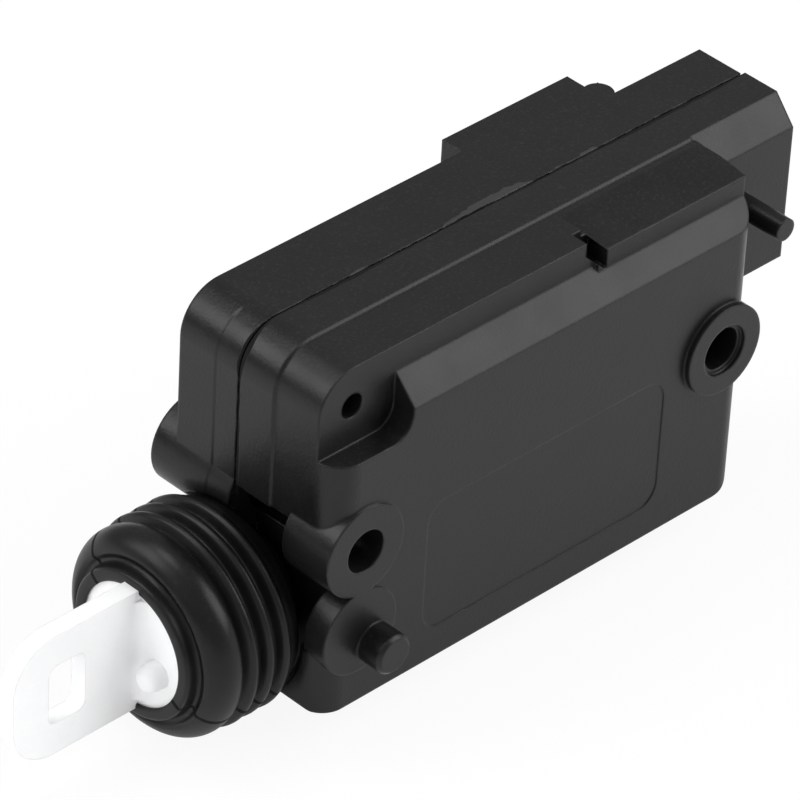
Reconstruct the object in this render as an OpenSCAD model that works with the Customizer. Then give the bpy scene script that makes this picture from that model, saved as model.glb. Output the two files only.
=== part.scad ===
// Door latch actuator: a small electric motor drives a two stage spur gear train
// and a rack, which pushes the white plunger out through a rubber bellows boot.
// Origin: middle of the left mounting eye on the front mounting face.
// +X runs from the boot to the connector end, +Y to the rear, +Z up.
// The plunger is drawn pulled in.

/* [Housing] */
// Distance from the left mounting eye to the left end of the housing
left_reach = 5; // [4.8:0.1:5.4]
// Distance from the left mounting eye to the right end of the housing
right_reach = 60.6; // [60.4:0.2:64]
// Height of the top of the housing over the left mounting eye
top_reach = 23.3; // [23.2:0.1:25]
// Depth of the bottom of the housing under the left mounting eye
bottom_reach = 21.3; // [21.1:0.1:23]
// Depth of the front shell, from the mounting face to the parting face
front_depth = 15.6; // [15.4:0.1:16.4]
// Depth of the rear shell, from the parting face to its back
rear_depth = 9.7; // [9.5:0.1:10.8]
// Thickness of the moulded walls
wall = 2; // [1.7:0.1:2.2]
// Radius of the upper left corner of the housing
top_left_r = 5.5; // [4:0.5:6]
// Radius of the lower right corner of the housing
bottom_r = 4; // [3:0.5:5]
// Radius of the upright edge left of the front face
front_edge_r = 3.6; // [3:0.2:4.4]
// How far the front box reaches past the flange at the right end
front_overhang = 1.35; // [0.8:0.05:1.5]
// Radius of the upright edge right of the front face
right_edge_r = 3; // [2.4:0.2:3.4]
// Distance of the flange line behind the mounting face
flange_back = 10.3; // [9:0.1:11]
// How far the flange stands proud of the front box
flange_step = 0.3; // [0.2:0.05:0.4]

/* [Front face] */
// Distance of the lower edge of the front bevel under the top
bevel_drop = 7.2; // [6.6:0.2:7.6]
// Depth of the front bevel
bevel_depth = 3.3; // [3:0.1:3.6]
// Depth of the band over the right part of the bevel
band_depth = 2.65; // [2.4:0.05:2.9]
// Fall of the sloped part of the top towards the front
top_fall = 2; // [1.5:0.1:2.2]
// Height of the screw pocket in the upper left corner
pocket_h = 10.8; // [10:0.2:11.4]
// Width of the screw pocket from the left end
pocket_w = 11.8; // [11.2:0.2:12.6]
// Corner radius of the screw pocket
pocket_r = 3; // [2:0.5:4]
// Distance of the slanted slot from the left mounting eye
slot_x = 36.5; // [34:0.5:37]
// Depth of the slanted slot
slot_depth = 2.4; // [1.5:0.1:2.8]
// Depth of the shallow bare panel on the front face
panel_depth = 0.1; // [0.05:0.05:0.2]

/* [Mounts] */
// Radius of the holes of the mounting eyes
eye_r = 2.75; // [2.5:0.05:3]
// Radius of the boss round each mounting eye
eye_boss_r = 5.9; // [5.6:0.1:6.2]
// How far the bosses of the left eye and the peg stand proud of the front face
boss_proud = 0.3; // [0.2:0.05:0.4]
// Wall of the tubes behind the mounting eyes
eye_tube_wall = 1.85; // [1.5:0.05:2]
// Distance between the mounting eyes along the housing
eye_pitch = 57; // [56.6:0.2:58]
// Height of the right mounting eye over the left one
right_eye_rise = 0.9; // [0:0.1:1.2]
// How far the right eye stands in front of the mounting face
right_eye_proud = 0.85; // [0.5:0.05:1.2]
// Radius of the locating peg
peg_r = 2.55; // [2.3:0.05:2.8]
// Height of the locating peg over the mounting face
peg_h = 3.82; // [3:0.1:5]
// Distance of the locating peg right of the left mounting eye
peg_x = 1.98; // [1.9:0.02:2.2]
// Distance of the locating peg under the left mounting eye
peg_drop = 13.67; // [13.4:0.1:14]
// Radius of the boss under the locating peg
peg_boss_r = 5.6; // [5.4:0.05:5.8]
// Radius of the locating pin on the end block
end_pin_r = 1.45; // [1.2:0.05:1.8]
// Length of the locating pin on the end block
end_pin_l = 7.3; // [6:0.1:8]

/* [End block] */
// Length of the connector block past the end of the housing
block_l = 14.7; // [13.5:0.1:17]
// Distance of the front of the connector block behind the mounting face
block_front = 7.5; // [7.2:0.1:8]
// Distance of the back of the connector block behind the mounting face
block_back = 22.5; // [22.2:0.1:23]
// Height of the bottom of the connector block over the left mounting eye
block_bottom = 1.5; // [1.2:0.1:2]
// Depth of the connector socket
socket_depth = 11; // [10:0.2:12]
// Width of the connector socket
socket_w = 11; // [10.8:0.1:11.4]
// Height of the connector socket
socket_h = 14; // [13.4:0.2:14.4]

/* [Plunger] */
// Drop of the plunger axis under the left mounting eye
axis_drop = 12.2; // [12.1:0.05:12.4]
// Travel of the plunger
stroke = 18; // [16:0.5:18]
// Radius of the plunger rod
rod_r = 4.2; // [4:0.05:4.3]
// Running clearance between the rod and its guide
rod_fit = 0.05; // [0.03:0.01:0.08]
// Distance of the plunger disc from the left mounting eye
disc_reach = 20; // [19.6:0.1:21]
// Radius of the plunger disc
disc_r = 8.1; // [7.8:0.1:8.3]
// Length of the flat tab in front of the disc
tab_l = 18.7; // [17:0.1:21]
// Width of the flat tab
tab_w = 16.6; // [14:0.2:17]
// Thickness of the flat tab
tab_t = 2.3; // [1.8:0.1:3]
// Corner radius of the tab
tab_r = 6; // [4:0.5:6.5]
// Width of the slot in the tab, along the plunger
tab_slot_w = 5.4; // [4.8:0.1:6]
// Height of the slot in the tab, across the plunger
tab_slot_h = 8.1; // [7.2:0.1:9]

/* [Boot] */
// Largest radius of the boot, over its front bulge
boot_r = 12.9; // [12.7:0.1:13.2]
// Radius of the crests of the folds
fold_r = 13.2; // [13:0.1:13.6]
// Distance between the folds when the boot is pushed together
fold_pitch = 2.45; // [2.3:0.05:2.5]
// Thickness of the rubber
boot_wall = 1; // [0.8:0.1:1.2]

/* [Gear train] */
// Module of the teeth between motor and first wheel
module_one = 0.5; // [0.5:0.01:0.51]
// Module of the teeth between first and second wheel
module_two = 0.7; // [0.69:0.01:0.71]
// Module of the rack and its pinion
module_rack = 1; // [0.98:0.01:1.02]
// Teeth of each pinion
pinion_teeth = 10; // [10:1:10]
// Teeth of the first wheel
wheel_one_teeth = 36; // [35:1:36]
// Teeth of the second wheel
wheel_two_teeth = 30; // [29:1:30]
// Face width of the first wheel
wheel_one_w = 2.8; // [2.4:0.1:3]
// Face width of the second wheel
wheel_two_w = 2.6; // [2.2:0.1:2.8]
// Thinning of each tooth, which leaves the meshes their play
tooth_play = 0.1; // [0.06:0.01:0.14]
// Distance of the second wheel's axle from the right end of the housing
wheel_two_in = 32.83; // [32.4:0.1:33.6]
// Radius of the first wheel's axle
axle_one_r = 1; // [0.8:0.1:1.2]
// Radius of the second wheel's axle
axle_two_r = 1.5; // [1.2:0.1:1.7]
// Running clearance of the wheels on their axles
axle_fit = 0.05; // [0.03:0.01:0.08]
// Width of the rack
rack_w = 7; // [6:0.2:7.4]

/* [Motor] */
// Radius of the motor can
can_r = 8.8; // [8.5:0.1:8.9]
// Half the distance between the flats of the motor can
can_flat = 7.6; // [7.3:0.1:7.9]
// Length of the motor can
can_l = 13.2; // [12.8:0.2:15]
// Thickness of the motor can
can_wall = 0.8; // [0.6:0.1:0.9]
// Radius of the motor shaft
shaft_r = 1; // [0.8:0.1:1.2]
// Radius of the armature core
core_r = 5.9; // [5.6:0.1:6]

/* [Hidden] */
$fn = 64;

// Small overlap of cutting shapes past the faces they cut
past = 1;
// Gap left between pieces that move past each other without a fit
free_gap = 0.3;

// Housing planes
left_x = -left_reach;
right_x = right_reach;
top_z = top_reach;
bottom_z = -bottom_reach;
part_y = front_depth;
back_y = front_depth + rear_depth;
inner_back_y = back_y - wall;
front_x = right_x + front_overhang;
front_top_r = 1.8;
lower_left_r = 0.4;
lower_left_x = left_x - 0.65;
lower_edge_r = 3.3;
lower_edge_z = -13;
groove_w = 0.25;
groove_depth = 0.5;
tube_r = eye_r + eye_tube_wall;
lobe_depth = 7;
peg_boss_depth = 3;
peg_boss_x = peg_x - 2.22;
peg_boss_z = 2.5 - peg_drop;
peg_shoulder_r = peg_r + 0.35;
right_eye_x = eye_pitch;
right_eye_z = right_eye_rise;
right_eye_boss_r = eye_boss_r + 0.02;
eye_step_r = eye_r + 0.6;
eye_step_depth = 0.6;

// Front face steps
bevel_z = top_z - bevel_drop;
pocket_x = left_x + pocket_w;
pocket_z = top_z - pocket_h;
slope_x = slot_x + 1.5;

// Plunger axis, stops and the recess round the boot
axis_y = part_y;
axis_z = -axis_drop;
spigot_r = 6.2;
spigot_x = left_x;
recess_depth = 3.5;
recess_x = left_x + recess_depth;
recess_top = 2.6;
recess_r = 11.5;
boot_neck_r = spigot_r + 1.2;
boot_pocket_r = boot_neck_r + 0.4;
boot_room_r = fold_r - 0.9;
guide_x = recess_x + wall;
bumper_t = 2;
bumper_r = 6.4;
bumper_gap = 0.2;

// Gear train: pitch radii, centres and faces
pressure = 25;
tooth_add = 0.88;
tooth_ded = 1.12;
motor_pinion_r = pinion_teeth * module_one / 2;
wheel_one_r = wheel_one_teeth * module_one / 2;
pinion_two_r = pinion_teeth * module_two / 2;
wheel_two_r = wheel_two_teeth * module_two / 2;
rack_pinion_r = pinion_teeth * module_rack / 2;
rack_rise = 5;
mesh_two_angle = 38.68;
mesh_one_angle = 30.58;
wheel_two_x = right_x - wheel_two_in;
centres_two = wheel_two_r + pinion_two_r;
centres_one = wheel_one_r + motor_pinion_r;
wheel_two_z = axis_z + rack_rise + rack_pinion_r;
wheel_one_x = wheel_two_x + centres_two * cos(mesh_two_angle);
wheel_one_z = wheel_two_z + centres_two * sin(mesh_two_angle);
motor_x = wheel_one_x + centres_one * cos(mesh_one_angle);
motor_z = wheel_one_z + centres_one * sin(mesh_one_angle);
axle_front_y = 0.8;
wheel_one_y = wall + 1.2;
pinion_two_y = wheel_one_y + wheel_one_w;
wheel_two_y = pinion_two_y + 0.7;
rack_pinion_y = wheel_two_y + wheel_two_w;
rack_y = axis_y - rack_w / 2;
rack_back_y = axis_y + rack_w / 2;
output_end_y = rack_back_y + 0.2;
rack_pitch_z = axis_z + rack_rise;
rack_bottom_z = axis_z - 4;
rack_start_x = guide_x + bumper_t + bumper_gap + stroke;
rack_pitch = PI * module_rack;
rack_teeth = 9;
rack_first = ceil((rack_start_x + 1 - wheel_two_x) / rack_pitch - 0.5);
rack_end_x = rack_start_x + 29.3;
stop_x = rack_end_x + bumper_gap + bumper_t;

// Motor
can_y = rack_pinion_y + 0.5;
can_end_y = can_y + can_l;
bell_t = 2.4;
bell_end_y = can_end_y + bell_t;
pad_t = 1.3;
pad_end_y = bell_end_y + pad_t;
block_wall = 1.8;
mount_back_y = pad_end_y + block_wall;
can_inner_r = can_r - can_wall;
can_inner_flat = can_flat - can_wall;
bush_r = 2.5;
shaft_fit = 0.05;
commutator_r = 2.6;
brush_gap = 0.1;
magnet_t = 1.6;
core_y = can_y + 2.6;
core_end_y = core_y + can_l - 5.6;
coil_t = 0.95;
commutator_y = core_end_y + 1.2;
commutator_end_y = can_end_y - 0.1;
motor_left = motor_x - 10.2;
motor_right = motor_x + 10.2;
motor_bottom = motor_z - can_r - free_gap - block_wall;

// Electrical contacts
blade_w = 2.8;
blade_t = 0.8;
blade_pitch = 7;
blade_z = motor_z - 0.4;
blade_end_x = right_x + block_l - 3;
terminal_t = 0.5;
terminal_root = can_flat - 1.8;
terminal_x = motor_x + can_flat + 0.2;
blade_x = terminal_x + terminal_t + 0.05;
carrier_flange_t = 0.7;
carrier_w = 9.8;
carrier_h = 11.8;
carrier_gap = 0.1;
end_pin_z = block_bottom + 11.3;
block_end_x = right_x + block_l;
socket_x = block_end_x - socket_depth;

// Screws
screw_r = 1.5;
screw_fit = 0.05;
screw_boss_r = 3.7;
screw_head_r = 2.8;
screw_head_h = 1.6;
screw_places = [
    [left_x + 5.3, top_z - 5.5],
    [24, top_z - 5.1],
    [right_x - 4.6, bottom_z + 5.1]];
screw_tip_y = 7.4;

module along_x(x0, x1) {
    translate([x0, 0, 0]) rotate([90, 0, 90]) linear_extrude(x1 - x0) children();
}

module along_y(y0, y1) {
    translate([0, y1, 0]) rotate([90, 0, 0]) linear_extrude(y1 - y0) children();
}

// Round bar along Y at a place in the XZ plane
module bar_y(x, z, y0, y1, r) {
    translate([x, y0, z]) rotate([-90, 0, 0]) cylinder(h = y1 - y0, r = r);
}

// Round bar on the plunger axis
module bar_x(x0, x1, r) {
    translate([x0, axis_y, axis_z]) rotate([0, 90, 0]) cylinder(h = x1 - x0, r = r);
}

// Box between two corners
module block(from, to) {
    translate(from) cube(to - from);
}

// What a round corner takes off, at a corner whose body lies towards sx, sy
module corner_cut(x, y, sx, sy, r) {
    lap = 0.01;
    translate([x + sx * r, y + sy * r]) difference() {
        translate([sx > 0 ? -r - lap : 0, sy > 0 ? -r - lap : 0]) square(r + lap);
        circle(r);
    }
}

// Rectangle with its own radius at each corner, from lower left round to upper left
module rounded(x0, y0, x1, y1, r) {
    difference() {
        translate([x0, y0]) square([x1 - x0, y1 - y0]);
        if (r[0] > 0) corner_cut(x0, y0, 1, 1, r[0]);
        if (r[1] > 0) corner_cut(x1, y0, -1, 1, r[1]);
        if (r[2] > 0) corner_cut(x1, y1, -1, -1, r[2]);
        if (r[3] > 0) corner_cut(x0, y1, 1, -1, r[3]);
    }
}

// Outline of the housing seen from the front, drawn in by an inset
module outline(inset) {
    rounded(left_x + inset, bottom_z + inset, right_x - inset, top_z - inset,
        [max(lower_left_r - inset, 0), bottom_r - inset, 0, top_left_r - inset]);
}

// Part of the front box between two heights, with its own left end and upright edge
module front_box(low, high, from_x, edge_r) {
    intersection() {
        along_y(0, flange_back) rounded(
            from_x, bottom_z, front_x, top_z - flange_step,
            [lower_left_r, bottom_r, front_top_r, top_left_r - flange_step]);
        translate([0, 0, low]) linear_extrude(high - low) rounded(
            from_x, 0, front_x, flange_back + past, [edge_r, right_edge_r, 0, 0]);
    }
}

// Chamfer from the front box up to the flange, along the top and the left end
module flange_chamfer() {
    lead = flange_back - flange_step;
    corner_x = left_x + top_left_r;
    corner_z = top_z - top_left_r;
    along_x(corner_x, right_x) polygon([[lead, top_z - flange_step],
        [flange_back, top_z - flange_step], [flange_back, top_z]]);
    translate([0, 0, bottom_z + lower_left_r])
        linear_extrude(corner_z - bottom_z - lower_left_r) polygon([
            [left_x + flange_step, lead], [left_x + flange_step, flange_back],
            [left_x, flange_back]]);
    intersection() {
        translate([corner_x, lead, corner_z]) rotate([-90, 0, 0])
            cylinder(h = flange_step, r1 = top_left_r - flange_step, r2 = top_left_r);
        block([left_x - past, lead - past, corner_z],
            [corner_x, flange_back + past, top_z + past]);
    }
}

// Groove along the parting line, as a cut into the rear shell
module parting_groove() {
    along_y(part_y - past, part_y + groove_w) difference() {
        rounded(left_x - past, bottom_z - past, block_end_x + past, top_z + past,
            [0, 0, 0, 0]);
        outline(groove_depth);
        rounded(right_x - wall, block_bottom + groove_depth,
            block_end_x - 0.5 - groove_depth, top_z - groove_depth, [0, 0, 0, 0]);
        rounded(left_x - 2 * past, axis_z - spigot_r - past, left_x + past,
            axis_z + spigot_r + past, [0, 0, 0, 0]);
    }
}

// Bevel, band and slope of the upper front edge, as a cut grown by the wall
module bevel_cut(x0, x1, depth, fall, grow) {
    skew = grow * sqrt(2);
    along_x(x0, x1) polygon([
        [-past, bevel_z - past - skew],
        [depth + grow, bevel_z + depth + grow - skew],
        [depth + grow, top_z - fall - grow],
        [flange_back + grow * fall / 8, top_z - (fall > 0 ? grow : -past)],
        [flange_back, top_z + past],
        [-past, top_z + past]]);
}

// Screw pocket in the upper left corner, as a cut grown by the wall
module pocket_cut(grow) {
    along_y(-past, bevel_depth + grow)
        rounded(left_x - 2 * past, pocket_z - grow, pocket_x + grow, top_z + past,
            [0, pocket_r + grow, 0, 0]);
}

module front_steps(grow) {
    bevel_cut(pocket_x - past, slope_x, bevel_depth, 0, grow);
    bevel_cut(slope_x, front_x + past, band_depth, top_fall, grow);
    pocket_cut(grow);
}

// Recess in the left end that takes the boot, as a cut grown by the wall
module boot_recess(grow) {
    bottom = grow > 0 ? bottom_z - past : axis_z;
    block([left_x - 2 * past, -past, bottom],
        [recess_x + grow, back_y + past, recess_top + grow]);
    bar_x(left_x - past, recess_x + grow, recess_r);
}

// Room that the back of the boot and its neck take from the bosses beside them
module boot_room() {
    bar_x(left_x - 2 * past, left_x - 0.1, boot_room_r);
    bar_x(left_x - past, recess_x, boot_pocket_r);
}

// Hollow between the walls
module hollow(y0, y1) {
    difference() {
        along_y(y0, y1) outline(wall);
        front_steps(wall);
        boot_recess(wall);
    }
}

// Guide of the rod with the seat of the boot
module spigot() {
    bar_x(spigot_x, guide_x, spigot_r);
}

module spigot_bore() {
    bar_x(spigot_x - past, guide_x + past, rod_r + rod_fit);
}

// Section of the connector block across its length
module block_section() {
    facet = 3.5;
    polygon([[block_front, block_bottom], [block_back, block_bottom],
        [block_back, top_z], [block_front + facet * 0.86, top_z],
        [block_front, top_z - facet]]);
}

// Room inside the connector block for the mating plug and the carrier
module socket_room() {
    along_x(socket_x, block_end_x + past) rounded(
        part_y - socket_w / 2, blade_z - socket_h / 2,
        part_y + socket_w / 2, blade_z + socket_h / 2, [1, 1, 1, 1]);
    along_x(right_x - wall - past, socket_x + past) translate([part_y, blade_z])
        square([carrier_w + 2 * carrier_gap, carrier_h + 2 * carrier_gap], center = true);
}

// Ring that holds the front rubber bumper on the plunger axis
module bumper_seat() {
    bar_x(guide_x - past, guide_x + bumper_t, bumper_r + 1.2);
}

module bumper_room() {
    bar_x(guide_x, guide_x + bumper_t + past, bumper_r);
}

// Wall behind the rear bumper
module stop_wall() {
    block([stop_x, axis_y - 5.5, bottom_z], [stop_x + wall, axis_y + 5.5, axis_z + 4.5]);
}

// Runner under the rack
module rack_runner() {
    block([9, axis_y - 2.5, bottom_z], [rack_end_x, axis_y + 2.5, rack_bottom_z - free_gap]);
}

module front_outside() {
    difference() {
        union() {
            difference() {
                union() {
                    front_box(lower_edge_z, top_z, left_x + flange_step, front_edge_r);
                    front_box(bottom_z, lower_edge_z, lower_left_x, lower_edge_r);
                    along_y(flange_back, part_y) outline(0);
                    flange_chamfer();
                }
                front_steps(0);
                boot_recess(0);
            }
            bar_y(0, 0, -boss_proud, lobe_depth, eye_boss_r);
            bar_y(peg_boss_x, peg_boss_z, -boss_proud, peg_boss_depth, peg_boss_r);
            bar_y(peg_x, -peg_drop, -boss_proud, peg_boss_depth, peg_shoulder_r);
        }
        boot_room();
    }
    bar_y(right_eye_x, right_eye_z, -right_eye_proud, block_front + past,
        right_eye_boss_r);
    intersection() {
        spigot();
        block([left_x - past, 0, bottom_z], [right_x, part_y, top_z]);
    }
    intersection() {
        along_x(right_x - wall, block_end_x) block_section();
        block([left_x, 0, bottom_z], [block_end_x, part_y, top_z]);
    }
}

// Ribs, bosses and seats inside the front shell
module front_inside() {
    bar_y(0, 0, 0, part_y, tube_r);
    bar_y(right_eye_x, right_eye_z, 0, part_y, tube_r);
    for (place = screw_places)
        bar_y(place[0], place[1], 0, part_y, screw_boss_r);
    bar_y(wheel_one_x, wheel_one_z, 0, wheel_one_y - 0.3, axle_one_r + 1.6);
    bar_y(wheel_two_x, wheel_two_z, 0, wheel_one_y - 0.3, axle_two_r + 1.8);
    bumper_seat();
    stop_wall();
    rack_runner();
    motor_seat();
    block([slot_x - 1.5, 0, bevel_z + 1.5], [slot_x + 4.5, bevel_depth + 4, top_z]);
    block([right_x - 18, 0, bottom_z], [right_x - 16.4, rack_y - free_gap, axis_z + 2]);
    block([9, 0, bottom_z], [10.6, axis_y - rod_r - free_gap, axis_z + 2]);
}

// Curved ledge that the front of the motor can rests on
module motor_seat() {
    seat_r = can_r - 0.1;
    along_y(0, can_y) translate([motor_x, motor_z]) difference() {
        intersection() {
            circle(seat_r);
            wedge(-45, 105, 2 * seat_r);
        }
        circle(seat_r - 1.8);
    }
}

// Pie slice of a circle between two angles
module wedge(from, to, r) {
    middle = (from + to) / 2;
    polygon([[0, 0], [r * cos(from), r * sin(from)],
        [r * cos((from + middle) / 2), r * sin((from + middle) / 2)],
        [r * cos(middle), r * sin(middle)],
        [r * cos((to + middle) / 2), r * sin((to + middle) / 2)],
        [r * cos(to), r * sin(to)]]);
}

// Slanted slot in the upper band
module slanted_slot() {
    width = 2.9;
    shelf = bevel_z + band_depth;
    along_y(-past, bevel_depth + slot_depth) polygon([
        [slot_x, top_z + past], [slot_x + 0.7, top_z + past],
        [slot_x + width - 0.1, top_z - 2.1], [slot_x + width, shelf + 0.1],
        [slot_x + width - 0.4, shelf + 0.1], [slot_x, top_z - 2.1]]);
}

module eye_holes() {
    for (eye = [[0, 0], [right_eye_x, right_eye_z]])
        bar_y(eye[0], eye[1], -2 * past, mount_back_y + past, eye_r);
    bar_y(right_eye_x, right_eye_z, -right_eye_proud - past,
        eye_step_depth - right_eye_proud, eye_step_r);
}

module front_shell() {
    color("#45464a") {
        difference() {
            front_outside();
            difference() {
                hollow(wall, part_y + past);
                front_inside();
            }
            socket_room();
            spigot_bore();
            bumper_room();
            eye_holes();
            slanted_slot();
            bar_y(screw_places[0][0], screw_places[0][1], 0, part_y + past,
                screw_r + screw_fit);
            bar_y(motor_x, motor_z, can_y, part_y + past, can_r + 0.1);
            for (i = [1, 2])
                bar_y(screw_places[i][0], screw_places[i][1], screw_tip_y - 0.5,
                    part_y + past, screw_r + screw_fit);
            bar_y(wheel_one_x, wheel_one_z, axle_front_y, part_y, axle_one_r);
            bar_y(wheel_two_x, wheel_two_z, axle_front_y, part_y, axle_two_r);
            along_y(-past, panel_depth) rounded(10, bottom_z + 4.3, 48, 1, [3, 3, 3, 3]);
        }
        bar_y(peg_x, -peg_drop, 0.4 - peg_h, 0.5, peg_r);
        translate([peg_x, 0.4 - peg_h, -peg_drop]) rotate([90, 0, 0])
            cylinder(h = 0.4, r1 = peg_r, r2 = peg_r - 0.4);
        bar_y(block_end_x - 8.3, end_pin_z, block_front - end_pin_l,
            block_front + 0.5, end_pin_r);
    }
}

module rear_outside() {
    bead_r = 1.9;
    difference() {
        union() {
            difference() {
                along_y(part_y, back_y) outline(0);
                boot_recess(0);
            }
            bar_y(0, 0, part_y, mount_back_y, eye_boss_r);
        }
        boot_room();
    }
    along_y(part_y, mount_back_y)
        rounded(motor_left, motor_bottom, motor_right, top_z, [1.5, 1.5, 0, 0]);
    bar_y(right_eye_x, right_eye_z, part_y, mount_back_y, tube_r);
    translate([right_x - 1.4, back_y - 1.5, block_bottom])
        cylinder(h = top_z - block_bottom, r = bead_r);
    intersection() {
        spigot();
        block([left_x - past, part_y, bottom_z], [right_x, back_y, top_z]);
    }
    intersection() {
        along_x(right_x - wall, block_end_x - 0.5) block_section();
        block([left_x, part_y, bottom_z], [block_end_x, back_y, top_z]);
    }
}

module rear_hollow() {
    hollow(part_y - past, inner_back_y);
    along_y(part_y, pad_end_y)
        rounded(motor_left + block_wall, motor_z - can_r - free_gap,
            motor_right - block_wall, top_z - wall, [0, 0, 0, 0]);
}

// Ribs, bosses and posts inside the rear shell
module rear_inside() {
    bar_y(0, 0, part_y, back_y, tube_r);
    bar_y(right_eye_x, right_eye_z, part_y, back_y, tube_r);
    for (place = screw_places)
        bar_y(place[0], place[1], part_y, back_y, screw_boss_r);
    bar_y(wheel_one_x, wheel_one_z, part_y, back_y, axle_one_r + 1.6);
    bar_y(wheel_two_x, wheel_two_z, output_end_y + free_gap, back_y, axle_two_r + 1.8);
    bumper_seat();
    stop_wall();
    rack_runner();
    block([right_x - 18, rack_back_y + free_gap, bottom_z],
        [right_x - 16.4, back_y, axis_z + 2]);
    block([motor_x - can_flat - 1.7, part_y + 2, motor_z - 4],
        [motor_x - can_flat - 0.1, back_y, top_z]);
}

module rear_shell() {
    color("#3a3b3f") difference() {
        rear_outside();
        difference() {
            rear_hollow();
            rear_inside();
        }
        socket_room();
        spigot_bore();
        bumper_room();
        eye_holes();
        parting_groove();
        for (place = screw_places) {
            bar_y(place[0], place[1], part_y - past, back_y, screw_r + screw_fit);
            bar_y(place[0], place[1], back_y - screw_head_h - 0.2, back_y + past,
                screw_head_r + 0.2);
        }
        bar_y(wheel_one_x, wheel_one_z, part_y - past, part_y + 4, axle_one_r);
        bar_y(wheel_two_x, wheel_two_z, output_end_y, inner_back_y, axle_two_r);
    }
}

// Half section of the boot: radius across, place along the plunger upwards
module boot_outer() {
    lip_x = -disc_reach;
    bulge_r = 3;
    bulge_x = lip_x + 3.75;
    last_x = left_x - 3.5;
    translate([0, lip_x]) square([disc_r + 1.5, 1.1]);
    translate([0, lip_x + 0.6]) square([disc_r + 1.9, 3]);
    translate([boot_r - bulge_r, bulge_x]) circle(bulge_r);
    translate([0, bulge_x]) square([fold_r - 1.7, last_x - bulge_x + 1]);
    for (i = [0 : 2])
        translate([fold_r - 1.2, last_x - i * fold_pitch]) circle(1.2);
    polygon([[0, last_x], [fold_r, last_x], [fold_r - 0.4, last_x + 1],
        [fold_r - 1.8, left_x - 0.4], [0, left_x - 0.4]]);
    translate([0, left_x - past]) square([boot_neck_r, recess_depth - 0.3 + past]);
}

module boot_inner() {
    lip_x = -disc_reach;
    bulge_r = 3 - boot_wall;
    bulge_x = lip_x + 3.75;
    last_x = left_x - 3.5;
    shoulder_room_r = disc_r - 0.1;
    translate([0, lip_x - past]) square([disc_r + free_gap, 1.6 + past]);
    translate([0, lip_x]) square([6.3, 4]);
    translate([0, lip_x + 2.35]) square([shoulder_room_r, 2]);
    translate([boot_r - boot_wall - bulge_r, bulge_x]) circle(bulge_r);
    translate([0, bulge_x]) square([fold_r - 1.7 - boot_wall, last_x - bulge_x + 1]);
    polygon([[0, last_x], [fold_r - 1.3, last_x], [fold_r - 1.8 - boot_wall, left_x - 0.4 - boot_wall],
        [0, left_x - 0.4 - boot_wall]]);
    translate([0, left_x - 2 * past]) square([spigot_r, recess_depth + 3 * past]);
}

module bellows_boot() {
    color("#232425") translate([0, axis_y, axis_z]) rotate([0, 90, 0])
        rotate_extrude() difference() {
            boot_outer();
            boot_inner();
        }
}

module closing_screws() {
    color("#9a9b9d") for (place = screw_places) {
        head_y = back_y - screw_head_h - 0.2;
        difference() {
            union() {
                bar_y(place[0], place[1], screw_tip_y, head_y + 0.1, screw_r);
                bar_y(place[0], place[1], head_y, head_y + screw_head_h, screw_head_r);
            }
            for (turn = [0, 90])
                translate([place[0], head_y + screw_head_h, place[1]]) rotate([0, turn, 0])
                    cube([3.4, 1.6, 0.7], center = true);
        }
    }
}

module gear_one_axle() {
    color("#b4b6b9") bar_y(wheel_one_x, wheel_one_z, axle_front_y, part_y + 3.9, axle_one_r);
}

module gear_two_axle() {
    color("#b4b6b9") bar_y(wheel_two_x, wheel_two_z, axle_front_y, inner_back_y - 0.1,
        axle_two_r);
}

// Round can with two flats, drawn round the motor axis
module can_outline(r, flat) {
    translate([motor_x, motor_z]) intersection() {
        circle(r);
        square([2 * flat, 4 * r], center = true);
    }
}

module motor_can() {
    nose = 1.2;
    color("#a7a9ab") difference() {
        union() {
            along_y(can_y, can_end_y) can_outline(can_r, can_flat);
            bar_y(motor_x, motor_z, can_y - nose, can_y + past, bush_r + 0.8);
        }
        along_y(can_y + can_wall, can_end_y + past) can_outline(can_inner_r, can_inner_flat);
        bar_y(motor_x, motor_z, can_y - nose - past, can_y + past, bush_r);
    }
}

module motor_bush_front() {
    color("#b08d57") difference() {
        bar_y(motor_x, motor_z, can_y - 1.2, can_y + 1.5, bush_r);
        bar_y(motor_x, motor_z, can_y - 2.2, can_y + 2.5, shaft_r + shaft_fit);
    }
}

module motor_bush_rear() {
    color("#b08d57") difference() {
        bar_y(motor_x, motor_z, can_end_y + 0.4, bell_end_y - 0.2, bush_r);
        bar_y(motor_x, motor_z, can_end_y - past, bell_end_y + past, shaft_r + shaft_fit);
    }
}

module motor_end_bell() {
    color("#1f1f20") difference() {
        union() {
            along_y(can_end_y, bell_end_y) can_outline(can_r, can_flat);
            along_y(can_end_y - 0.6, can_end_y) difference() {
                can_outline(can_inner_r - 0.05, can_inner_flat - 0.05);
                can_outline(can_inner_r - 1.2, can_inner_flat - 1.2);
            }
            for (side = [-1, 1])
                translate([motor_x + side * 5.2, 0, motor_z])
                    block([-0.8, can_end_y - 1.9, -1.3], [0.8, can_end_y, 1.3]);
        }
        bar_y(motor_x, motor_z, can_end_y + 0.4, bell_end_y - 0.2, bush_r);
        bar_y(motor_x, motor_z, can_end_y - past, bell_end_y + past, shaft_r + 0.4);
        for (z = [-1, 1])
            block([motor_x + terminal_root, can_end_y + 0.9, terminal_z(z) - 1.05],
                [motor_x + can_flat + past, can_end_y + 1.4, terminal_z(z) + 1.05]);
    }
}

// Height of each of the two contacts
function terminal_z(side) = blade_z + side * blade_pitch / 2;

module motor_magnets() {
    color("#55575a") for (turn = [90, -90])
        along_y(can_y + 1.6, core_end_y + 1) translate([motor_x, motor_z]) rotate(turn)
            difference() {
                intersection() {
                    circle(can_inner_r);
                    wedge(-50, 50, 2 * can_r);
                }
                circle(can_inner_r - magnet_t);
            }
}

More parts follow.
